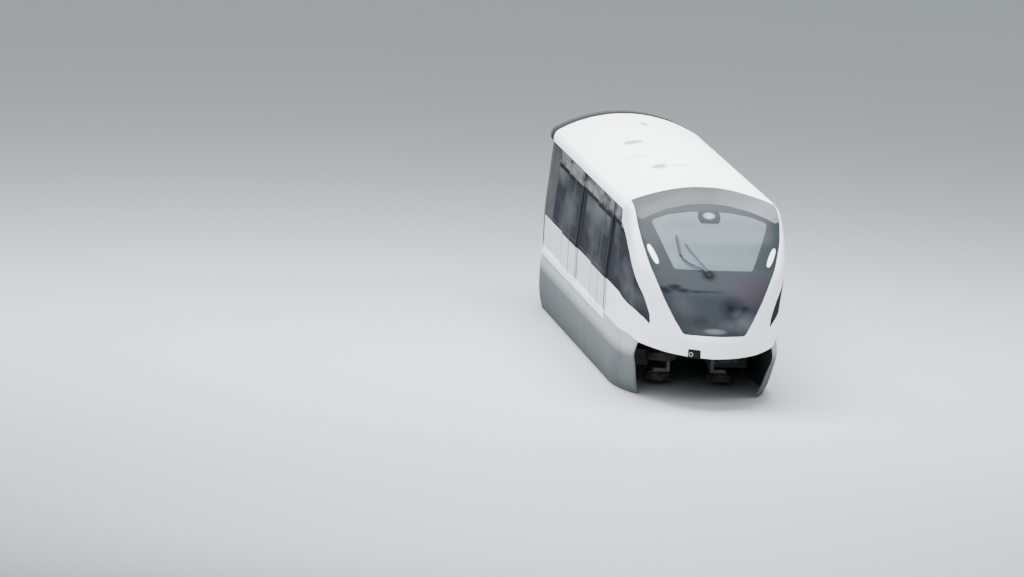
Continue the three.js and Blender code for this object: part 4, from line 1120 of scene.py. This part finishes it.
# Skirts
# Long grey-green fibre panels under a bright metal lip, parted by dark sealed joints. Painted light makes the
# upward chamfer above paler, painted shade darkens them where they curve in to the lower edge, and they end
# in a raked front edge behind the chin.
SKIRT_COLOUR = (0.118, 0.135, 0.142)
SKIRT_LOW_SHADE = (0.090, 0.101, 0.104)
CHAMFER_LIGHT = (0.33, 0.36, 0.365)
LIP_COLOUR = (0.93, 0.95, 0.97)
SEAL_COLOUR = (0.03, 0.03, 0.03)
SKIRT_DUST = (0.16, 0.155, 0.14)
SKIRT_END_Y = BODY_END_Y + 0.06
LIP_TOP_Z = WALL_BOTTOM_Z - 0.0004
LIP_CORNERS = [(1.545, 0.130, 0), (1.577, 0.130, 0.010), (1.577, LIP_TOP_Z, 0.006), (1.545, LIP_TOP_Z, 0)]
# (y, z) corners of the raked front edge, closed far behind
SKIRT_FRONT = [(-6.25, 0.2397), (-6.00, -0.30), (-5.45, -1.10), (7.0, -1.10), (7.0, 0.2397)]
JOINT_PITCH = 2.175
JOINT_HALF = 0.005
skirt_paint, shader = new_material("skirt_paint")
place = axes(shader)
# Painted shade low down where the panel curves in, and painted light on the upward-facing chamfer.
tone = mixed(ranged(place["Z"], -0.95, -0.2), SKIRT_LOW_SHADE, SKIRT_COLOUR)
tone = mixed(ranged(place["Z"], -0.20, 0.0), tone, CHAMFER_LIGHT)
blotches = noise(shader, 1.3, 6, 0.6)
runs = noise(shader, 3.0, 5, 0.6, stretch=(7, 7, 0.6))
dusty = plus(ranged(blotches, 0.40, 0.80, 0, 0.30), ranged(runs, 0.50, 0.85, 0, 0.25))
tone = mixed(dusty, tone, SKIRT_DUST)
to_joint = calculated("PINGPONG", calculated("SUBTRACT", place["Y"], BODY_END_Y), JOINT_PITCH)
at_joint = above(to_joint, JOINT_PITCH - JOINT_HALF)
feed(shader, "Base Color", mixed(at_joint, tone, SEAL_COLOUR))
feed(shader, "Roughness", ranged(dusty, 0.0, 0.5, 0.42, 0.62))
gloss_off_edge(shader, 0.2, 0.05)
bumped(shader, noise(shader, 90.0, 3), 0.0006)
lip_paint = paint("lip_metal", LIP_COLOUR, ROAD_DUST, roughness=0.35, dusty=0.4, coat=0.1)
for name, side in SIDES:
    skirt = copy_of(skin, f"skirt_panel_{name}")
    cut_by_plane(skirt, (0, 0, WALL_BOTTOM_Z - 0.0003), (0, 0, 1))
    cut_by_plane(skirt, (side * 0.6, 0, 0), (-side, 0, 0))
    keep_inside(skirt, SKIRT_FRONT, *on_side(side, 0.5, 2.0), axis="x")
    cut_out(skirt, offset(chin_outline, 0.004), high=NOSE_JOIN_Y + 0.4)
    smooth(skirt)
    dress(skirt, skirt_paint, "skirt_paint", "car_body", f"skirt_{name}")
    lip_outline = rounded([(side * x, z, radius) for x, z, radius in LIP_CORNERS], 5)
    lip = prism(lip_outline, "y", NOSE_JOIN_Y, SKIRT_END_Y)
    lip.name = f"skirt_lip_{name}"
    smooth(lip)
    dress(lip, lip_paint, "belt_paint", "car_body")
bpy.data.objects.remove(skin)

# Cant rails and rear end
# Dull grey rails over the doors that carry the sliding leaves, and the flat end wall round the gangway.
CANT_COLOUR = (0.15, 0.16, 0.163)
CANT_DUST = (0.06, 0.06, 0.06)
END_COLOUR = (0.060, 0.065, 0.068)
END_DUST = (0.12, 0.115, 0.11)
cant_paint = paint("cant_rail_paint", CANT_COLOUR, CANT_DUST, roughness=0.35, dusty=0.6, low=2.0, high=3.0)
end_paint = paint("end_wall_paint", END_COLOUR, END_DUST, roughness=0.5, dusty=0.5, coat=0.0)
for side in ("left", "right"):
    refinish(f"door_track_{side}", cant_paint)
refinish("end_frame", end_paint)

# Gangway bellows
# Folded rubber cloth on three hoops, from the end wall to the coupling plane.
BELLOWS_Y = (BODY_END_Y + 0.062, 5.70)
BELLOWS_FOLDS = 3
BELLOWS_STEPS = 30
BELLOWS_LOW_Z = 0.33
BELLOWS_INSET = (0.010, 0.062)
BELLOWS_CENTRE_Z = 1.70
BELLOWS_WALL = 0.035
section_heights = sorted([*row_heights[::3], WALL_TOP_Z - UNDERCUT])
section_heights = [z for z in section_heights if BELLOWS_LOW_Z < z < CROWN_Z]
half_section = [(0.0, BELLOWS_LOW_Z), (0.75, BELLOWS_LOW_Z), (skin_half(BELLOWS_LOW_Z), BELLOWS_LOW_Z)]
half_section += [(skin_half(z), z) for z in section_heights] + [(0.0, CROWN_Z)]
whole_section = half_section + [(-x, z) for x, z in reversed(half_section[1:-1])]


def bellows_point(s, t):
    corner = whole_section[round((s + 1) / 2 * len(whole_section)) % len(whole_section)]
    share = (t + 1) / 2
    wave = 0.5 - 0.5 * math.cos(2 * math.pi * BELLOWS_FOLDS * share)
    inset = BELLOWS_INSET[1] + (BELLOWS_INSET[0] - BELLOWS_INSET[1]) * wave**0.7
    across, height = corner[0] * (1 - inset / WALL_HALF), corner[1]
    if height > WALL_TOP_Z:
        height = WALL_TOP_Z + (height - WALL_TOP_Z) * (1 - inset / (CROWN_Z - WALL_TOP_Z))
    elif height < BELLOWS_CENTRE_Z:
        height = BELLOWS_CENTRE_Z + (height - BELLOWS_CENTRE_Z) * (1 - inset / (CROWN_Z - BELLOWS_CENTRE_Z))
    return Vector((across, BELLOWS_Y[0] + share * (BELLOWS_Y[1] - BELLOWS_Y[0]), height))


bellows = grid_piece("gangway_bellows_cloth", len(whole_section), BELLOWS_STEPS, bellows_point)
in_edit(bellows, weld, face_out)
modify(bellows, "SOLIDIFY", thickness=BELLOWS_WALL, offset=-1)
smooth(bellows, 50)
dress(bellows, rubber, "bellows_rubber", "car_body", "gangway_bellows")

# Underframe and floor
# Speckled rubber floor covering inside, dusty grey steel below and pale grey housings over the wheels.
FLOOR_Z = 0.48
under_material, shader = new_material("floor_and_underframe")
place = axes(shader)
speckle = ranged(noise(shader, 190.0, 2), 0.52, 0.60)
cover = mixed(speckle, (0.17, 0.18, 0.19), (0.42, 0.43, 0.44))
worn = ranged(noise(shader, 1.4, 5, 0.6), 0.4, 0.8, 0, 0.35)
cover = mixed(worn, cover, (0.30, 0.29, 0.27))
housing_tone = mixed(worn, (0.30, 0.31, 0.315), (0.20, 0.20, 0.195))
grime = ranged(noise(shader, 3.5, 6, 0.65), 0.35, 0.75)
steel_tone = mixed(grime, (0.060, 0.064, 0.070), (0.155, 0.145, 0.130))
above_floor = above(place["Z"], FLOOR_Z - 0.005)
on_floor = below(place["Z"], FLOOR_Z + 0.005)
inside_tone = mixed(on_floor, housing_tone, cover)
feed(shader, "Base Color", mixed(above_floor, steel_tone, inside_tone))
feed(shader, "Roughness", 0.7)
feed(shader, "Specular IOR Level", 0.25)
bumped(shader, noise(shader, 60.0, 3), 0.0008)
refinish("underframe", under_material)

# Couplers
# Dusty forged steel: a bracket under the floor, a bar and a square head with four bolts and an eye
# lined with rubber.
COUPLER_Z = 0.15
HEAD_DEPTH = 0.060
BOLT_RADIUS = 0.014
BOLT_HEIGHT = 0.012
steel_paint = paint("dusty_bogie_steel", (0.115, 0.125, 0.135), (0.20, 0.18, 0.155),
                    roughness=0.55, dusty=0.8, low=-1.0, high=1.2, coat=0.0)


def ring_places(middle, radius, count):
    angles = [2 * math.pi * i / count for i in range(count)]
    return [(middle[0] + radius * math.cos(a), middle[1] + radius * math.sin(a)) for a in angles]


def joined(name, pieces):
    """Joins pieces into one mesh."""
    bpy.ops.object.select_all(action="DESELECT")
    for piece in pieces:
        piece.select_set(True)
    bpy.context.view_layer.objects.active = pieces[0]
    bpy.ops.object.join()
    pieces[0].name = name
    return pieces[0]


def bolts(name, places, axis, low, high):
    """Hexagon bolt heads with chamfered corners, all along one axis."""
    heads = []
    for place in places:
        head = prism(ring_places(place, BOLT_RADIUS, 6), axis, low, high)
        modify(head, "BEVEL", width=0.0018, segments=2)
        heads.append(head)
    return joined(name, heads)


# node, Y of the head's face, which way it points
for node, face_y, way in (("front_coupler", -7.33, -1), ("rear_drawbar", 5.70, 1)):
    refinish(node, steel_paint)
    places = [(x, COUPLER_Z + z) for x in (-0.085, 0.085) for z in (-0.042, 0.042)]
    span = sorted((face_y - way * (HEAD_DEPTH - 0.0005), face_y - way * (HEAD_DEPTH + BOLT_HEIGHT)))
    head_bolts = bolts(f"{node}_bolts", places, "y", *span)
    smooth(head_bolts)
    dress(head_bolts, eye_steel, "rail_steel", "car_body")

# Equipment cases
# Painted steel cases that hang beside the beam, with ribbed undersides, hinged covers and louvred air
# openings.
CASE_X = (0.600, 1.390)
COVERS = 6
COVER_START_Y = -2.94
COVER_PITCH = 1.0
COVER_LENGTH = 0.84
COVER_Z = (-0.70, 0.16)
COVER_CORNER = 0.03
COVER_THICK = 0.007
SLATS = 6
SLAT_LOW_Z = -0.60
SLAT_PITCH = 0.05
SLAT_INSET = 0.12
case_paint = paint("equipment_case_paint", (0.19, 0.20, 0.205), (0.24, 0.22, 0.19), roughness=0.45, dusty=0.7,
                   low=-0.9, high=0.6, coat=0.05)
for name, side in SIDES:
    refinish(f"equipment_case_{name}", case_paint)
    for face in CASE_X:
        out = side * (1 if face > 1 else -1)
        covers = []
        inner = side * face
        outer = inner + out * COVER_THICK
        for i in range(COVERS):
            start = COVER_START_Y + i * COVER_PITCH
            end = start + COVER_LENGTH
            places = [(start, COVER_Z[0]), (end, COVER_Z[0]), (end, COVER_Z[1]), (start, COVER_Z[1])]
            corners = [(*place, COVER_CORNER) for place in places]
            cover = prism(rounded(corners, 4), "x", *sorted((inner - out * 0.001, outer)))
            modify(cover, "BEVEL", width=0.0025, segments=2, limit_method="ANGLE")
            covers.append(cover)
            if i % 2 == 0:
                for row in range(SLATS):
                    low = SLAT_LOW_Z + SLAT_PITCH * row
                    back = outer - out * 0.001
                    slat = [(back, low), (outer + out * 0.012, low), (back, low + 0.03)]
                    covers.append(prism(slat, "y", start + SLAT_INSET, end - SLAT_INSET))
        covers = joined(f"case_covers_{name}_{'outer' if face > 1 else 'inner'}", covers)
        smooth(covers)
        dress(covers, case_paint, "case_paint", "car_body")

# Bogie frames
# Welded steel frames astride the beam. Round bearing covers are bolted over the axle ends, and rubber
# air springs stand on the carriers at the sides.
BOGIE_Y = 4.4
AXLE_Z = 0.5
SPRING_AT = (0.59, 0.42)
SPRING_LOW_Z = 0.425
SPRING_TOP_Z = 0.7990
SPRING_RADIUS = 0.1005
SPRING_BORE = 0.0985
SPRING_FOLDS = 3
FOLD_HEIGHT = 0.123
FOLD_DEPTH = 0.0075
COVER_X = (0.4655, 0.488)
# radius, share of the depth
COVER_PROFILE = [(0.0005, 0), (0.12, 0), (0.12, 0.6), (0.105, 0.8), (0.070, 0.8), (0.062, 1), (0.0005, 1)]
COVER_BOLT_RING = 0.088
PLATE_BOLT_X = (0.4648, 0.477)
PLATE_BOLT_Y = (-0.70, -0.5, 0.5, 0.70)
PLATE_BOLT_Z = (-0.08, 0.36)
BOGIES = (("front", -1), ("rear", 1))


def spun(name, profile, axis, centre, steps=48):
    """A closed outline of (radius, place along the axis) points, spun into a ring round its axis."""
    direction = {"x": (1, 0, 0), "z": (0, 0, 1)}[axis]
    middle = Vector(centre)
    piece = added(bpy.ops.mesh.primitive_circle_add, vertices=len(profile), fill_type="NOTHING")
    piece.name = name
    for vertex, (radius, along) in zip(piece.data.vertices, profile):
        vertex.co = middle + Vector({"x": (along, radius, 0), "z": (radius, 0, along)}[axis])
    in_edit(
        piece,
        lambda: bpy.ops.mesh.spin(steps=steps, angle=2 * math.pi, center=middle, axis=direction),
        lambda: bpy.ops.mesh.select_all(action="SELECT"),
        weld,
        face_out,
    )
    return piece


def mirrored_profile(half):
    """Closes the half of an outline on one side of a wheel's middle plane with its mirror image."""
    return half + [(radius, -along) for radius, along in reversed(half)]


for bogie, end in BOGIES:
    y = end * BOGIE_Y
    body = f"bogie_{bogie}"
    refinish(f"bogie_frame_{bogie}", steel_paint)
    springs = []
    fastened = []
    for side in (-1, 1):
        depth = COVER_X[1] - COVER_X[0]
        cap = [(radius, side * (COVER_X[0] + share * depth)) for radius, share in COVER_PROFILE]
        cover = spun(f"bearing_cover_{bogie}", cap, "x", (0, y, AXLE_Z), 40)
        smooth(cover)
        dress(cover, steel_paint, "frame_steel", body)
        seat = COVER_X[0] + 0.75 * depth
        span = on_side(side, seat, seat + BOLT_HEIGHT)
        fastened.append(bolts("cover_bolts", ring_places((y, AXLE_Z), COVER_BOLT_RING, 6), "x", *span))
        plate_places = [(y + along, z) for along in PLATE_BOLT_Y for z in PLATE_BOLT_Z]
        fastened.append(bolts("plate_bolts", plate_places, "x", *on_side(side, *PLATE_BOLT_X)))
        for way in (-1, 1):
            ring = []
            for fold in range(SPRING_FOLDS):
                low = SPRING_LOW_Z + fold * FOLD_HEIGHT
                for step in range(9):
                    swell = FOLD_DEPTH * math.sin(math.pi * step / 8)
                    ring.append((SPRING_RADIUS + swell, low + FOLD_HEIGHT * step / 8.6))
            ring += [(SPRING_BORE, SPRING_TOP_Z - 0.01), (SPRING_BORE, SPRING_LOW_Z)]
            centre = (side * SPRING_AT[0], y + way * SPRING_AT[1], 0)
            springs.append(spun("air_spring", ring, "z", centre, 32))
    spring_set = joined(f"air_spring_bellows_{bogie}", springs)
    smooth(spring_set, 50)
    dress(spring_set, rubber, "bellows_rubber", body)
    fasteners = joined(f"bogie_bolts_{bogie}", fastened)
    smooth(fasteners)
    dress(fasteners, eye_steel, "rail_steel", body)

# Wheels
# Twin load wheels ride on the beam, small wheels grip its sides. Each has a black tyre with grooves
# round its tread, bead-seated on a painted steel disc with a hub and a ring of bolts.
LOAD_WHEEL_X = 0.165
LOAD_RADIUS = 0.500
LOAD_HALF_WIDTH = 0.125
GUIDE_RADIUS = 0.310
GUIDE_HALF_WIDTH = 0.090
STABLE_RADIUS = 0.270
STABLE_HALF_WIDTH = 0.080
GUIDE_AT = (0.655, 0.64, -0.27)
STABLE_AT = (0.615, -0.78)
LOAD_BOLT_RING = 0.232
SMALL_BOLT_RING = 0.135
PIN_BORE = 0.0567
GROOVE_DEPTH = 0.008
tyre_rubber, shader = new_material("tyre_rubber")
tyre_tone = ranged(noise(shader, 7.0, 6, 0.65), 0.35, 0.80)
feed(shader, "Base Color", mixed(tyre_tone, (0.018, 0.018, 0.020), (0.095, 0.088, 0.078)))
feed(shader, "Roughness", 0.85)
feed(shader, "Specular IOR Level", 0.25)
bumped(shader, noise(shader, 150.0, 3), 0.0006)
disc_paint = paint("wheel_disc_paint", (0.42, 0.43, 0.44), (0.20, 0.18, 0.15), roughness=0.4, dusty=0.8,
                   low=-1.0, high=1.2, coat=0.1)


def tyre_profile(radius, half, rim):
    """Half of a tyre's outline, from the bead over the side wall to the tread's middle groove."""
    wall = radius - rim
    tread = 0.60 * half
    points = [
        (rim, 0.74 * half), (rim + 0.10 * wall, 0.86 * half), (rim + 0.30 * wall, 0.95 * half),
        (rim + 0.52 * wall, 0.97 * half), (rim + 0.74 * wall, 0.90 * half), (rim + 0.90 * wall, 0.78 * half),
        (radius - 0.004, 0.66 * half), (radius, tread),
    ]
    for at in (0.62, 0.12):
        points += [(radius, (at + 0.10) * tread), (radius - GROOVE_DEPTH, (at + 0.07) * tread),
                   (radius - GROOVE_DEPTH, (at - 0.07) * tread), (radius, (at - 0.10) * tread)]
    return points


def wheel(name, node, radius, half, rim, disc, axis, centre):
    """A tyre, which stands for the node, and its disc, both on the wheel's own body of the same name."""
    tyre = spun(f"tyre_{name}", mirrored_profile(tyre_profile(radius, half, rim)), axis, centre, 72)
    smooth(tyre, 35)
    dress(tyre, tyre_rubber, "tyre", node, node)
    plate = spun(f"wheel_disc_{name}", mirrored_profile(disc), axis, centre, 56)
    smooth(plate, 30)
    dress(plate, disc_paint, "frame_steel", node)


def small_disc(rim, half):
    return [(PIN_BORE, 0.56 * half), (0.088, 0.56 * half), (0.098, 0.34 * half), (0.80 * rim, 0.26 * half),
            (0.89 * rim, 0.68 * half), (rim - 0.001, 0.78 * half)]


load_rim = 0.62 * LOAD_RADIUS
# radius, share of the wheel's half width
load_disc = [
    (0.0695, 0.62), (0.125, 0.62), (0.145, 0.50), (0.20, 0.26), (0.86 * load_rim, 0.22),
    (0.93 * load_rim, 0.72), (load_rim - 0.001, 0.78),
]
load_disc = [(radius, share * LOAD_HALF_WIDTH) for radius, share in load_disc]
# radius, place from the middle plane
axle_profile = mirrored_profile([(0.0005, -0.460), (0.062, -0.460), (0.070, -0.452)])
for bogie, end in BOGIES:
    y = end * BOGIE_Y
    node = f"load_wheels_{bogie}"
    wheel_bolts = []
    bolt_places = ring_places((y, LOAD_RADIUS), LOAD_BOLT_RING, 10)
    for place, side in SIDES:
        name = f"load_{bogie}_{place}"
        x = side * LOAD_WHEEL_X
        centre = (x, y, LOAD_RADIUS)
        wheel(name, node, LOAD_RADIUS, LOAD_HALF_WIDTH, load_rim, load_disc, "x", centre)
        for face in (-1, 1):
            seat = 0.24 * LOAD_HALF_WIDTH
            span = sorted((x + face * seat, x + face * (seat + 0.016)))
            wheel_bolts.append(bolts("disc_bolts", bolt_places, "x", *span))
    wheel_bolts = joined(f"load_wheel_bolts_{bogie}", wheel_bolts)
    smooth(wheel_bolts)
    dress(wheel_bolts, eye_steel, "rail_steel", node)
    axle = spun(f"axle_{bogie}", axle_profile, "x", (0, y, LOAD_RADIUS), 40)
    smooth(axle)
    dress(axle, eye_steel, "rail_steel", node)
    for side_name, side in SIDES:
        small = []
        for place, way in (("fore", -1), ("aft", 1)):
            centre = (side * GUIDE_AT[0], y + way * GUIDE_AT[1], GUIDE_AT[2])
            small.append((f"guide_wheel_{bogie}_{place}_{side_name}", GUIDE_RADIUS, GUIDE_HALF_WIDTH, centre))
        centre = (side * STABLE_AT[0], y, STABLE_AT[1])
        small.append((f"stabiliser_wheel_{bogie}_{side_name}", STABLE_RADIUS, STABLE_HALF_WIDTH, centre))
        for node, radius, half, centre in small:
            rim = 0.66 * radius
            wheel(node, node, radius, half, rim, small_disc(rim, half), "z", centre)
            face_z = centre[2] - 0.27 * half
            span = (face_z - BOLT_HEIGHT, face_z + 0.002)
            rim_bolts = bolts(f"{node}_bolts", ring_places(centre, SMALL_BOLT_RING, 8), "z", *span)
            smooth(rim_bolts)
            dress(rim_bolts, eye_steel, "rail_steel", node)

# Benches
# Moulded seat shells in rows along the walls, each a little dished, on a steel box with a kick recess.
BENCH_Y = (-1.20, 0.70)
SEATS = 4
SEAT_GAP = 0.006
# (x, z) outline of one shell and of the box below it
SHELL_OUTLINE = [
    (1.032, 0.875, 0.010), (1.040, 0.928, 0.030), (1.200, 0.915, 0.2), (1.330, 0.935, 0.10),
    (1.372, 1.020, 0.10), (1.396, 1.386, 0.006), (1.424, 1.378, 0.006), (1.402, 1.000, 0.10),
    (1.350, 0.900, 0.10), (1.110, 0.868, 0.05),
]
BOX_OUTLINE = [
    (1.160, FLOOR_Z + 0.0004, 0), (1.435, FLOOR_Z + 0.0004, 0), (1.435, 0.90, 0), (1.350, 0.895, 0),
    (1.120, 0.862, 0.01), (1.120, 0.60, 0.02), (1.160, 0.57, 0.02),
]
SEAT_COLOUR = (0.055, 0.145, 0.30)
SEAT_DUST = (0.20, 0.24, 0.28)
seat_paint = paint("seat_shell", SEAT_COLOUR, SEAT_DUST, roughness=0.35, low=0.4, high=1.5, coat=0.2)
for name, side in SIDES:
    length = (BENCH_Y[1] - BENCH_Y[0]) / SEATS
    shells = []
    for i in range(SEATS):
        start = BENCH_Y[0] + i * length + SEAT_GAP / 2
        outline = rounded([(side * x, z, r) for x, z, r in SHELL_OUTLINE], 5)
        shell = prism(outline, "y", start, start + length - SEAT_GAP)
        modify(shell, "BEVEL", width=0.006, segments=3, limit_method="ANGLE")
        shells.append(shell)
    shells = joined(f"seat_shells_{name}", shells)
    smooth(shells)
    dress(shells, seat_paint, "seat_shell", "car_body", f"bench_{name}")
    outline = rounded([(side * x, z, r) for x, z, r in BOX_OUTLINE], 4)
    seat_box = prism(outline, "y", BENCH_Y[0] + 0.02, BENCH_Y[1] - 0.02)
    seat_box.name = f"bench_box_{name}"
    smooth(seat_box)
    dress(seat_box, case_paint, "case_paint", "car_body")

# Grab rails and hanging straps
# Brushed steel posts and overhead bars, with looped straps and moulded handles.
RAIL_X = 1.0
RAIL_Z = 2.378
STRAPS = 6
STRAP_START_Y = -1.02
STRAP_PITCH = 0.31
STRAP_DROP = 0.20
STRAP_HALF = 0.014
HANDLE_RADIUS = 0.055
HANDLE_THICKNESS = 0.008
HANDLE_COLOUR = (0.60, 0.62, 0.63)
HANDLE_DUST = (0.30, 0.30, 0.29)
rail_steel, shader = new_material("brushed_rail_steel")
brush = noise(shader, 2.0, 4, 0.6, stretch=(160, 160, 2))
feed(shader, "Base Color", mixed(ranged(brush, 0.3, 0.8), (0.55, 0.56, 0.57), (0.72, 0.73, 0.74)))
feed(shader, "Metallic", 1.0)
feed(shader, "Roughness", ranged(brush, 0.3, 0.8, 0.22, 0.42))
refinish("grab_rails", rail_steel)
handle_paint = paint("strap_handle", HANDLE_COLOUR, HANDLE_DUST, roughness=0.4, dusty=0.3, low=1, high=3)
straps = []
handles = []
for side in (-1, 1):
    for i in range(STRAPS):
        y = STRAP_START_Y + STRAP_PITCH * i
        x = side * RAIL_X
        low = RAIL_Z - STRAP_DROP
        high = RAIL_Z + 0.019
        loop = [(x - 0.020, high, 0.01), (x + 0.020, high, 0.01), (x + 0.004, low, 0), (x - 0.004, low, 0)]
        straps.append(prism(rounded(loop, 5), "y", y - STRAP_HALF, y + STRAP_HALF))
        centre = (x, y, low - HANDLE_RADIUS + HANDLE_THICKNESS)
        handles.append(torus(HANDLE_RADIUS, HANDLE_THICKNESS, 28, centre, (0, math.pi / 2, 0)))
straps = joined("hanging_straps", straps)
handles = joined("strap_handles", handles)
smooth(straps)
smooth(handles, 60)
dress(straps, rubber, "bellows_rubber", "car_body")
dress(handles, handle_paint, "lamp_lens", "car_body")

# Front console
# A painted desk behind the windscreen with a sloped top, two dark screens in bezels and push buttons.
SCREENS_X = (-0.36, 0.10)
BUTTONS = 8
BUTTON_WIDTH = 0.028
# (y, z) ends of the desk's slope
DESK_FRONT = Vector((-6.44, 1.40))
DESK_BACK = Vector((-5.98, 1.33))
refinish("front_console", case_paint)
slope = (DESK_BACK - DESK_FRONT).normalized()
across_slope = Vector((-slope.y, slope.x))


def on_desk(x, low, high, base, top):
    """A slab on the desk: its span in X, then the start and end up the slope and the height of two edges."""
    corners = [(base[0], low), (base[1], low), (top[1], high), (top[0], high)]
    return prism([DESK_FRONT + along * slope + lift * across_slope for along, lift in corners], "x", *x)


raised = []
faces = []
for x in SCREENS_X:
    raised.append(on_desk((x - 0.19, x + 0.19), -0.001, 0.014, (0.07, 0.39), (0.075, 0.385)))
    faces.append(on_desk((x - 0.165, x + 0.165), 0.012, 0.0155, (0.095, 0.365), (0.095, 0.365)))
for i in range(BUTTONS):
    x = 0.36 + 0.05 * (i % 4)
    start = 0.14 + 0.09 * (i // 4)
    base = (start, start + BUTTON_WIDTH)
    raised.append(on_desk((x, x + BUTTON_WIDTH), -0.001, 0.012, base, (start + 0.003, start + 0.025)))
raised = joined("console_bezels", raised)
faces = joined("console_screens", faces)
modify(raised, "BEVEL", width=0.003, segments=2, limit_method="ANGLE")
smooth(raised)
dress(raised, rubber, "bellows_rubber", "car_body")
dress(faces, tinted_glass, "tinted_glass", "car_body")

# Ceiling lights
# Two long rounded diffusers under the ceiling, in thin white trays.
LIGHT_X = 0.52
LIGHT_Y = (-4.4, 5.1)
# x from the light's middle, z from the ceiling, radius
LIGHT_CORNERS = [(-0.085, 0.012, 0), (0.085, -0.004, 0), (0.07, -0.045, 0.03), (-0.07, -0.045, 0.03)]
light_material, shader = new_material("ceiling_diffuser")
feed(shader, "Base Color", (0.90, 0.91, 0.92))
feed(shader, "Roughness", 0.5)
feed(shader, "Emission Color", (0.95, 0.97, 1.0))
feed(shader, "Emission Strength", 0.25)
ceiling_z = CROWN_Z - ROOF_RADIUS + math.sqrt((ROOF_RADIUS - SHELL_THICKNESS) ** 2 - (LIGHT_X + 0.09) ** 2)
for name, side in SIDES:
    corners = [(side * (LIGHT_X + x), ceiling_z + z, radius) for x, z, radius in LIGHT_CORNERS]
    strip = prism(rounded(corners, 6), "y", *LIGHT_Y)
    strip.name = f"ceiling_light_{name}"
    smooth(strip, 50)
    dress(strip, light_material, "lamp_lens", "car_body")
